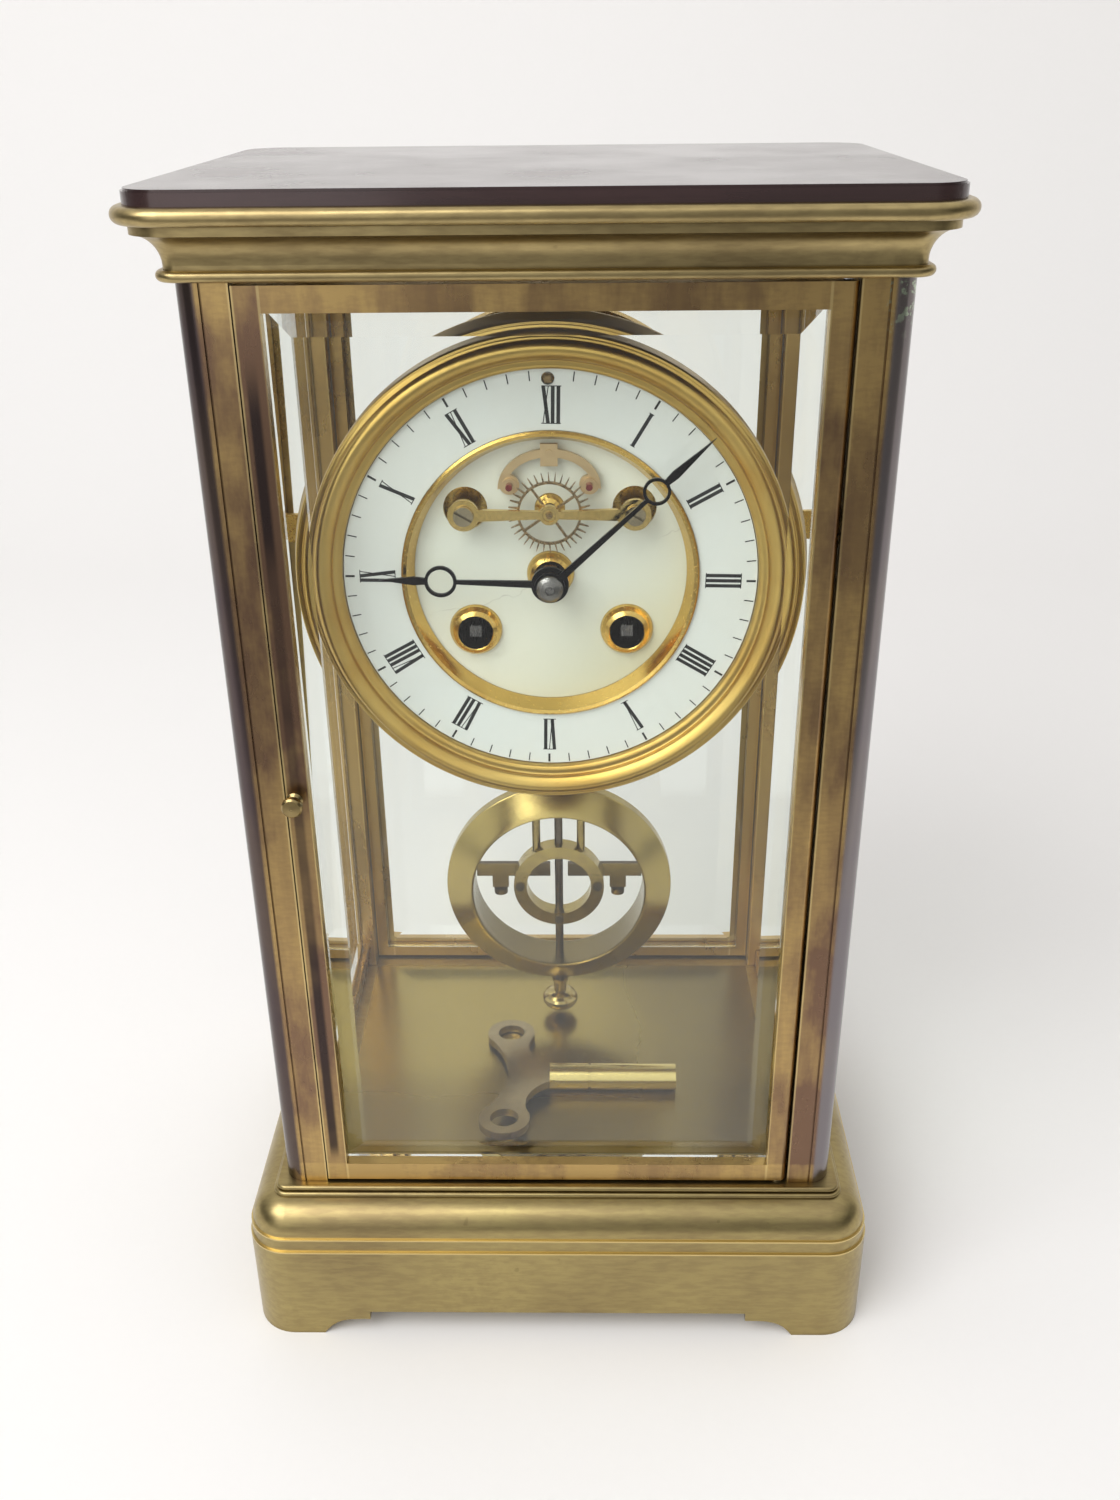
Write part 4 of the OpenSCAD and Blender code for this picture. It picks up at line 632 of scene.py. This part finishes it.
def polished_steel(name, tone, rough=0.24, local=unchanged):
    """Polished steel with fine scratches and darker patches, and painted shade that turns it black in its
    recesses.
    """
    finish, tree, shader = new_finish(name, metallic=1.0)
    patch = noise(tree, object_point(tree), 150.0, 4.0, 0.55)
    scratch = noise(tree, object_point(tree, (1.0, 0.1, 0.15)), 1800.0, 3.0, 0.6)
    metal = tinted(tree, tone, scaled(tone, 0.5), patch, 0.4, 0.8, 0.0, 0.6)
    # Painted shade: black in the recesses
    metal = local(tree, blend(tree, recess_shade(tree, 0.5 * MM), metal, scaled(tone, 0.06)))
    gloss = spread(tree, scratch, 0.3, 0.7, rough - 0.03, rough + 0.06)
    fill(tree, shader, base_color=metal, roughness=gloss)
    return finish


def enamel(name, tone, shade, crack, local=unchanged):
    """Fired enamel: a glossy face, a faint cloud of shade, and a hairline crack that wanders across."""
    slope, wander = -0.42, 12 * MM
    finish, tree, shader = new_finish(name, roughness=0.14, coat_weight=0.3, coat_roughness=0.05)
    point = object_point(tree, origin=DIAL_CENTRE)
    parts = axis_parts(tree, point)
    swerve = maths(tree, "SUBTRACT", noise(tree, point, 70.0, 4.0, 0.6), 0.5)
    swerve = maths(tree, "MULTIPLY", swerve, wander)
    line = maths(tree, "ADD", maths(tree, "MULTIPLY", parts["X"], slope), parts["Z"], swerve)
    hair = near(tree, line, 0.0, 0.02 * MM, 0.09 * MM, crack)
    reach = spread(tree, noise(tree, point, 34.0, 2.0, 0.5), 0.48, 0.58)
    face = local(tree, tinted(tree, tone, shade, noise(tree, point, 24.0, 4.0, 0.5), 0.4, 0.8, 0.0, 0.5))
    fill(tree, shader, base_color=blend(tree, maths(tree, "MULTIPLY", hair, reach), face, hue("crack")))
    return finish


def clear_pane(name):
    """Clear glass that lets the lamps' light through to what stands behind it."""
    tone = hue("pane")
    finish, tree, shader = new_finish(name, roughness=0.0, transmission_weight=1.0, ior=1.5, base_color=tone)
    shadow = add(tree, "ShaderNodeLightPath").outputs["Is Shadow Ray"]
    open_way = add(tree, "ShaderNodeBsdfTransparent", {"Color": tone}).outputs[0]
    mixed = add(tree, "ShaderNodeMixShader", {0: shadow, 1: shader.outputs[0], 2: open_way}).outputs[0]
    feed(tree, tree.nodes["Material Output"].inputs["Surface"], mixed)
    return finish


def jewel(name):
    """Polished red stone, clouded a little inside."""
    finish, tree, shader = new_finish(name, roughness=0.06, transmission_weight=0.4, ior=1.76)
    cloud = noise(tree, object_point(tree), 900.0, 3.0, 0.5)
    fill(tree, shader, base_color=blend(tree, cloud, hue("jewel"), hue("jewel", 2.2)))
    return finish


def fired_ink(name):
    """Black fired paint, a little uneven."""
    finish, tree, shader = new_finish(name, roughness=0.35)
    uneven = noise(tree, object_point(tree), 1500.0, 3.0, 0.6)
    fill(tree, shader, base_color=tinted(tree, hue("ink"), hue("ink_worn"), uneven, 0.6, 0.8, 0.0, 0.5))
    return finish


# Tones at single places, among them painted shade in holes and hollows and painted highlights on ledges


def radius_about(tree, x, z, mirrored=False):
    """The distance to an axis along Y, or to the nearer of it and its mirror image."""
    parts = axis_parts(tree)
    across = alone(tree, "ABSOLUTE", parts["X"]) if mirrored else parts["X"]
    across, up = maths(tree, "SUBTRACT", across, x), maths(tree, "SUBTRACT", parts["Z"], z)
    squares = (maths(tree, "MULTIPLY", across, across), maths(tree, "MULTIPLY", up, up))
    return alone(tree, "SQRT", maths(tree, "ADD", *squares))


def ledge_highlights(tree, metal):
    """Painted highlights along the upper edges of the base's block and of the fillet on it, standing in for
    the light that their rounded edges catch.
    """
    height = axis_parts(tree)["Z"]
    for edge in (PLINTH_TOP, PLINTH_TOP + FILLET):
        # Painted highlight along each ledge
        metal = blend(tree, near(tree, height, edge, *LEDGE_HIGHLIGHT), metal, hue("highlight_brass"))
    return metal


def bore_shade(tree, metal):
    """Painted shade: black within the two winding holes, where their depth is unlit."""
    away = radius_about(tree, abs(WINDING_X), WINDING_Z, mirrored=True)
    edge = bpy.context.scene.clock_dial.winding_hole
    # Painted shade inside the holes' radius
    return tinted(tree, metal, hue("bore"), away, edge - 0.05 * MM, edge, 1.0, 0.0)


def shaft_shade(tree, metal):
    """Painted shade: black on the winding arbors behind their front ends, deep in the winding holes."""
    depth = axis_parts(tree)["Y"]
    # Painted shade deep in the holes
    return tinted(tree, metal, hue("bore"), depth, WINDING_END + 0.2 * MM, WINDING_END + 0.5 * MM)


def warm_corner(tree, face):
    """Warmer towards the dial's lower right."""
    parts = axis_parts(tree, object_point(tree, origin=DIAL_CENTRE))
    slant = maths(tree, "SUBTRACT", parts["X"], parts["Z"])
    return tinted(tree, face, hue("centre_warm"), slant, *WARM_SLANT)


def levers_and_hollow_shade(tree, metal):
    """Dark steel before and behind the pendulum's middle ring, where the levers and the screws are, and
    painted shade in the ring's hollow."""
    half, ease = MIDDLE_RING_HALF, 0.05 * MM
    away = alone(tree, "ABSOLUTE", axis_parts(tree, object_point(tree, origin=BOB_CENTRE))["Y"])
    metal = tinted(tree, metal, hue("lever"), away, half - ease, half + ease)
    # Painted shade in the middle ring's hollow
    hollow = radius_about(tree, BOB_CENTRE[0], BOB_CENTRE[2])
    return tinted(tree, metal, hue("lever"), hollow, MIDDLE_HOLLOW_R, MIDDLE_HOLLOW_R + 2 * ease, 0.75, 0.0)


def steel_rod(tree, metal):
    """Dark steel along the pendulum's middle rod."""
    across = alone(tree, "ABSOLUTE", axis_parts(tree)["X"])
    return tinted(tree, metal, hue("lever"), across, MIDDLE_ROD_REACH, MIDDLE_ROD_REACH + 0.1 * MM, 1.0, 0.0)


def inside_shade(tree, metal):
    """Painted shade on the inner wall of the pendulum's ring."""
    away = radius_about(tree, BOB_CENTRE[0], BOB_CENTRE[2])
    # Painted shade on the inner wall
    limits = (BOB_INNER + 0.1 * MM, BOB_INNER + 0.3 * MM, 0.85, 0.0)
    return tinted(tree, metal, hue("brass_dull", 0.6), away, *limits)


def rubbed_tube(tree, metal):
    """Golden along the key's tube."""
    start = KEY_END - KEY_TUBE
    return tinted(tree, metal, hue("tube"), axis_parts(tree)["X"], start, start + 0.1 * MM)


def steel_end(tree, metal):
    """Grey steel in front of the dial, where the centre arbor ends in the hand nut."""
    depth = axis_parts(tree)["Y"]
    return tinted(tree, metal, hue("shaft"), depth, DIAL_FACE - 0.5 * MM, DIAL_FACE, 1.0, 0.0)


# Dressing


def dress(finish, *names):
    """Give CAD nodes a finish in their material slots."""
    for name in names:
        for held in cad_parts[name].material_slots:
            held.material = finish


def place(piece, finish, body):
    """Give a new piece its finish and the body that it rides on."""
    piece.data.materials.append(finish)
    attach(piece, body)


def paint(name, ink, sizes, starts, ends, across, widths):
    """Paint strokes on the chapter ring, given from the dial's centre."""
    middle = DIAL_CENTRE[[0, 2]]
    front, back = DIAL_FACE - sizes.paint, DIAL_FACE + sizes.paint
    points, faces = stroke_blocks(middle + starts, middle + ends, across, widths, front, back)
    place(mesh_piece(name, points, faces, smooth=False), fired_ink(ink), "root")


# Operators


class ClockStep:
    """What the clock's operators share."""

    bl_options = {"REGISTER", "UNDO"}


class CLOCK_OT_case(ClockStep, bpy.types.Operator):
    """Finish the base, the cornice, the top plate and the inner floor"""

    bl_idname = "clock.finish_case"
    bl_label = "Finish the case"

    def execute(self, context):
        dull = hue("brass_dull")
        brass = aged_brass("case_brass", hue("brass"), dull, rough=0.33, local=ledge_highlights)
        dress(brass, "base_plinth", "base_moulding")
        dress(aged_brass("cornice_brass", hue("cornice"), dull, rough=0.34), "cornice")
        dress(satin_floor("floor_brass"), "floor_plate")
        dress(bronzed_top("top_bronze"), "top_plate")
        return {"FINISHED"}


class CLOCK_OT_uprights(ClockStep, bpy.types.Operator):
    """Finish the corner pillars, the side rails and the door frames"""

    bl_idname = "clock.finish_uprights"
    bl_label = "Finish the uprights"

    def execute(self, context):
        brass = patinated_brass("patinated_brass")
        dress(brass, "front_pillars", "rear_pillars", "side_rails", "front_door_frame", "rear_door_frame")
        return {"FINISHED"}


class CLOCK_OT_panes(ClockStep, bpy.types.Operator):
    """Finish the four panes"""

    bl_idname = "clock.finish_panes"
    bl_label = "Finish the panes"

    def execute(self, context):
        dress(clear_pane("clear_glass"), "side_glasses", "front_door_glass", "rear_door_glass")
        return {"FINISHED"}


class CLOCK_OT_dial(ClockStep, bpy.types.Operator):
    """Finish the enamel, the dial's rings, the hands, the cock and the knobs"""

    bl_idname = "clock.finish_dial"
    bl_label = "Finish the dial"

    def execute(self, context):
        dull = hue("brass_dull")
        dress(enamel("ring_enamel", hue("ring"), hue("ring_shade"), crack=0.45), "chapter_ring")
        cream = enamel("centre_enamel", hue("centre"), hue("centre_shade"), crack=0.4, local=warm_corner)
        dress(cream, "dial_centre")
        gilt = gilt_brass("dial_gilt", hue("gilt"), hue("gilt_dull"), local=bore_shade)
        dress(gilt, "inner_ring", "dial_collets", "dial_plate")
        cock = gilt_brass("cock_gilt", hue("cock"), hue("gilt"), rough=0.16, recess=0.3 * MM, brushed=0.0)
        dress(cock, "escape_cock")
        dress(aged_brass("knob_brass", hue("knob"), dull, rough=0.3), "front_latch", "rear_latch")
        dress(polished_steel("blued_steel", hue("hands"), rough=0.3), "hour_hand", "minute_hand")
        dress(polished_steel("screw_steel", hue("screw"), rough=0.2), "cock_screws")
        dress(polished_steel("nut_steel", hue("nut"), rough=0.2), "hand_nut", "cannon_pinion")
        dress(polished_steel("arbor_steel", hue("shaft"), local=shaft_shade), "going_arbor", "strike_arbor")
        dress(gilt_brass("regulator_gilt", hue("escape"), dull), "regulator_arbor")
        return {"FINISHED"}


class CLOCK_OT_numerals(ClockStep, bpy.types.Operator):
    """Paint the twelve radial numerals on the chapter ring"""

    bl_idname = "clock.paint_numerals"
    bl_label = "Paint the numerals"

    def execute(self, context):
        sizes = context.scene.clock_dial
        rows = numeral_strokes(sizes)
        out, side = dial_directions(rows[:, 0] / 12, sizes)
        start_across, start_out, end_across, end_out, widths = (rows[:, i : i + 1] for i in range(1, 6))
        starts, ends = side * start_across + out * start_out, side * end_across + out * end_out
        paint("numerals", "numeral_ink", sizes, starts, ends, side, widths)
        return {"FINISHED"}


class CLOCK_OT_minutes(ClockStep, bpy.types.Operator):
    """Paint the minute marks round the chapter ring, none at twelve"""

    bl_idname = "clock.paint_minutes"
    bl_label = "Paint the minute marks"

    def execute(self, context):
        sizes = context.scene.clock_dial
        minute = np.arange(1, 60)
        out, side = dial_directions(minute / 60, sizes)
        widths = np.where(minute % 5 == 0, sizes.hour_tick, sizes.tick)[:, None]
        paint("minute_marks", "minute_ink", sizes, out * sizes.tick_in, out * sizes.tick_out, side, widths)
        return {"FINISHED"}


class CLOCK_OT_bezel(ClockStep, bpy.types.Operator):
    """Turn the bezel: rounded mouldings on the CAD ring's section"""

    bl_idname = "clock.turn_bezel"
    bl_label = "Turn the bezel"

    def execute(self, context):
        lip, back = CHAPTER_R + BEZEL_LIP_GAP, bezel_high[1]
        step = np.array(BEZEL_STEP) * [BEZEL_R - lip, MM] + [lip, DIAL_FACE]
        roll = np.array(BEZEL_ROLL) * [BEZEL_R - lip, MM] + [lip, bezel_low[1]]
        face = smooth_profile(np.vstack([step, roll, [BEZEL_R, back]]))
        face[:, 0] = np.minimum(face[:, 0], BEZEL_R)
        rear = [[BEZEL_R - BEZEL_WALL, back], [BEZEL_R - BEZEL_WALL, step[0, 1]]]
        bezel = turned_piece("bezel_turned", np.vstack([face, rear]), DIAL_CENTRE, BEZEL_AROUND)
        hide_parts("bezel")
        gilt = turned_brass("bezel_gilt", hue("bezel"), hue("gilt_dull"), rough=0.32)
        place(bezel, gilt, "root")
        return {"FINISHED"}


class CLOCK_OT_movement(ClockStep, bpy.types.Operator):
    """Finish the plates, trains, bell and brackets behind the dial"""

    bl_idname = "clock.finish_movement"
    bl_label = "Finish the movement"

    def execute(self, context):
        gilt, dull = hue("gilt"), hue("gilt_dull")
        dress(gilt_brass("movement_gilt", gilt, dull, rough=0.28), "movement_brackets", "front_plate",
              "back_plate", "plate_pillars", "going_barrel", "strike_barrel", "intermediate_wheel",
              "third_wheel", "minute_wheel", "hour_wheel", "strike_second_wheel", "pin_wheel",
              "suspension_cock")
        dress(gilt_brass("centre_gilt", gilt, dull, rough=0.28, local=steel_end), "centre_wheel")
        dress(gilt_brass("escape_gilt", hue("escape"), hue("escape", 0.6), rough=0.26, recess=0.2 * MM,
                         brushed=0.0), "escape_wheel")
        dress(gilt_brass("pallet_gilt", hue("yoke"), hue("yoke", 0.92), rough=0.36, recess=0.05 * MM,
                         brushed=0.0), "pallet_anchor")
        dress(jewel("ruby"), "pallet_jewels")
        dress(aged_brass("bell_metal", hue("bell"), hue("brass_dull"), rough=0.2), "bell")
        dress(polished_steel("movement_steel", hue("steel")), "hinge_pins", "going_mainspring",
              "strike_mainspring", "fly", "hammer", "bell_stand", "suspension_spring")
        return {"FINISHED"}


class CLOCK_OT_pendulum(ClockStep, bpy.types.Operator):
    """Finish the rods, the levers and the rating nut, and turn the bob's ring"""

    bl_idname = "clock.finish_pendulum"
    bl_label = "Finish the pendulum"

    def execute(self, context):
        brass, dull = hue("bob"), hue("brass_dull")
        wear = {"spots": 0.3, "recess": 0.8 * MM}
        dress(aged_brass("pendulum_brass", brass, dull, rough=0.2, **wear), "rating_nut")
        dress(aged_brass("rod_brass", brass, dull, rough=0.2, local=steel_rod, **wear), "pendulum_rods")
        levers = aged_brass("lever_brass", brass, dull, rough=0.22, local=levers_and_hollow_shade, **wear)
        dress(levers, "compensation_frame")
        half = (bob_high[1] - bob_low[1]) / 2
        front = smooth_profile(np.array([
            [BOB_R, 0.0], [BOB_R, -BOB_RIM + BOB_RIM_ROUND], [BOB_R - BOB_RIM_ROUND, -BOB_RIM],
            [BOB_INNER + BOB_FLAT, -half], [BOB_INNER + BOB_LIP_ROUND, -half],
            [BOB_INNER, -half + BOB_LIP_ROUND], [BOB_INNER, 0.0],
        ]))
        ring = np.vstack([front, (front * [1, -1])[-2:0:-1]])[::-1]
        ring[:, 0] = np.clip(ring[:, 0], BOB_INNER, BOB_R)
        bob = turned_piece("bob_turned", ring + [0, BOB_CENTRE[1]], BOB_CENTRE, BOB_AROUND)
        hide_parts("pendulum_bob")
        turned = turned_brass("bob_brass", brass, dull, rough=0.2, rings=0.1, local=inside_shade)
        place(bob, turned, "pendulum")
        return {"FINISHED"}


class CLOCK_OT_key(ClockStep, bpy.types.Operator):
    """Finish the winding key"""

    bl_idname = "clock.finish_key"
    bl_label = "Finish the key"

    def execute(self, context):
        dress(aged_brass("key_brass", hue("key"), hue("key", 0.7), rough=0.28, spots=0.4, recess=0.3 * MM,
                         local=rubbed_tube), "winding_key")
        return {"FINISHED"}


class CLOCK_OT_studio(ClockStep, bpy.types.Operator):
    """Set the pale seamless floor, the soft lamps, the room's light and the camera"""

    bl_idname = "clock.set_studio"
    bl_label = "Set the studio"

    def execute(self, context):
        scene = context.scene
        studio = scene.clock_studio
        self.floor(studio)
        self.lamp("key_lamp", studio.key_power, studio.key_size, studio.key_place, studio.aim)
        self.lamp("front_lamp", studio.front_power, studio.front_size, studio.front_place, studio.aim)
        self.room(scene, studio)
        self.camera(scene, studio)
        scene.view_settings.view_transform = "Standard"
        return {"FINISHED"}

    def floor(self, studio):
        """A sheet that runs back along Y and turns up a quarter circle into a wall, carried along X.
        Metal sees it dim from a little way before the clock."""
        near_end, bend, radius, height, half, steps = -1.6, 0.55, 0.35, 1.8, 2.6, 24
        dim_from, dim_to = -0.16, -0.42
        turn = np.linspace(0, np.pi / 2, steps)
        y = np.concatenate([[near_end], bend + radius * np.sin(turn), [bend + radius]])
        z = np.concatenate([[0.0], radius - radius * np.cos(turn), [height]])
        x, y, z = np.broadcast_arrays(np.array([-half, half]), y[:, None], z[:, None])
        row = np.arange(len(y) - 1)
        faces = np.stack([2 * row, 2 * row + 1, 2 * row + 3, 2 * row + 2], axis=1)
        sheet = mesh_piece("studio_floor", np.stack([x, y, z], axis=2).reshape(-1, 3), faces)
        finish, tree, shader = new_finish("paper", roughness=0.9, specular_ior_level=0.1)
        grain = noise(tree, object_point(tree), 400.0, 3.0, 0.6)
        paper = blend(tree, grain, scaled(studio.floor, 1.0), scaled(studio.floor, 0.985))
        before = spread(tree, axis_parts(tree)["Y"], dim_to, dim_from, 1.0, 0.0)
        mirrored = maths(tree, "MULTIPLY", before, add(tree, "ShaderNodeLightPath").outputs["Is Glossy Ray"])
        fill(tree, shader, base_color=blend(tree, mirrored, paper, scaled(studio.floor, studio.room)))
        sheet.data.materials.append(finish)

    def lamp(self, name, power, size, stand, aim):
        """A square soft lamp that stands at a place and faces another."""
        light = bpy.data.lights.new(name, "AREA")
        light.energy, light.size = power, size
        lamp = bpy.data.objects.new(name, light)
        facing = (aim - stand).to_track_quat("-Z", "Y").to_matrix().to_4x4()
        lamp.matrix_world = Matrix.Translation(stand) @ facing
        bpy.context.collection.objects.link(lamp)

    def room(self, scene, studio):
        """White for the eye and through glass. Metal sees it white behind and above the clock and dimmer
        before it and at its sides. The rest gets an even ambient."""
        world = bpy.data.worlds.new("room")
        world.use_nodes = True
        tree = world.node_tree
        direction = axis_parts(tree, add(tree, "ShaderNodeTexCoord").outputs["Generated"])
        sides = spread(tree, alone(tree, "ABSOLUTE", direction["X"]), 0.45, 0.85, 1.0, studio.sides)
        lit = maths(tree, "MULTIPLY", spread(tree, direction["Y"], -0.35, 0.4, studio.room, 1.0), sides)
        lit = maths(tree, "MAXIMUM", lit, spread(tree, direction["Z"], 0.15, 0.85, 0.0, studio.overhead))
        light = add(tree, "ShaderNodeLightPath").outputs
        seen = maths(tree, "MAXIMUM", light["Is Camera Ray"], light["Is Transmission Ray"])
        strength = choose(tree, light["Is Glossy Ray"], studio.ambient, lit)
        shade = tree.nodes["Background"]
        fill(tree, shade, color=scaled(studio.light, 1.0), strength=choose(tree, seen, strength, 1.0))
        scene.world = world

    def camera(self, scene, studio):
        """Stand the camera at the eye, turned by the yaw, the pitch and the roll."""
        lens = bpy.data.cameras.new("camera")
        lens.lens, lens.clip_start = studio.lens, 10 * MM
        yaw, pitch, roll = studio.yaw, studio.pitch, studio.roll
        ahead = Vector((math.sin(yaw) * math.cos(pitch), math.cos(yaw) * math.cos(pitch), -math.sin(pitch)))
        right = Vector((math.cos(yaw), -math.sin(yaw), 0))
        down = ahead.cross(right)
        right, down = (right * math.cos(roll) + down * math.sin(roll),
                       down * math.cos(roll) - right * math.sin(roll))
        camera = bpy.data.objects.new("camera", lens)
        turn = Matrix((right, -down, -ahead)).transposed().to_4x4()
        camera.matrix_world = Matrix.Translation(studio.eye) @ turn
        bpy.context.collection.objects.link(camera)
        scene.camera = camera


STEPS = (CLOCK_OT_case, CLOCK_OT_uprights, CLOCK_OT_panes, CLOCK_OT_dial, CLOCK_OT_numerals,
         CLOCK_OT_minutes, CLOCK_OT_bezel, CLOCK_OT_movement, CLOCK_OT_pendulum, CLOCK_OT_key,
         CLOCK_OT_studio)


class CLOCK_PT_steps(bpy.types.Panel):
    """The clock's settings and the steps that dress it"""

    bl_idname = "CLOCK_PT_steps"
    bl_label = "Clock"
    bl_space_type = "VIEW_3D"
    bl_region_type = "UI"
    bl_category = "Clock"

    def draw(self, context):
        """List the steps, then each group's settings."""
        for step in STEPS:
            self.layout.operator(step.bl_idname)
        for name, group in GROUPS.items():
            for setting in group.__annotations__:
                self.layout.prop(getattr(context.scene, name), setting)


GROUPS = {"clock_dial": DialSizes, "clock_colours": ClockColours, "clock_studio": StudioSettings}


def register():
    """Register the settings, the operators and the panel."""
    for name, group in GROUPS.items():
        bpy.utils.register_class(group)
        setattr(bpy.types.Scene, name, PointerProperty(type=group))
    for step in (*STEPS, CLOCK_PT_steps):
        bpy.utils.register_class(step)


def unregister():
    """Take the panel, the operators and the settings away again."""
    for step in (CLOCK_PT_steps, *reversed(STEPS)):
        bpy.utils.unregister_class(step)
    for name, group in GROUPS.items():
        delattr(bpy.types.Scene, name)
        bpy.utils.unregister_class(group)


def main():
    """Dress the clock step by step."""
    register()
    for step in STEPS:
        group, name = step.bl_idname.split(".")
        getattr(getattr(bpy.ops, group), name)()


if __name__ == "__main__":
    main()
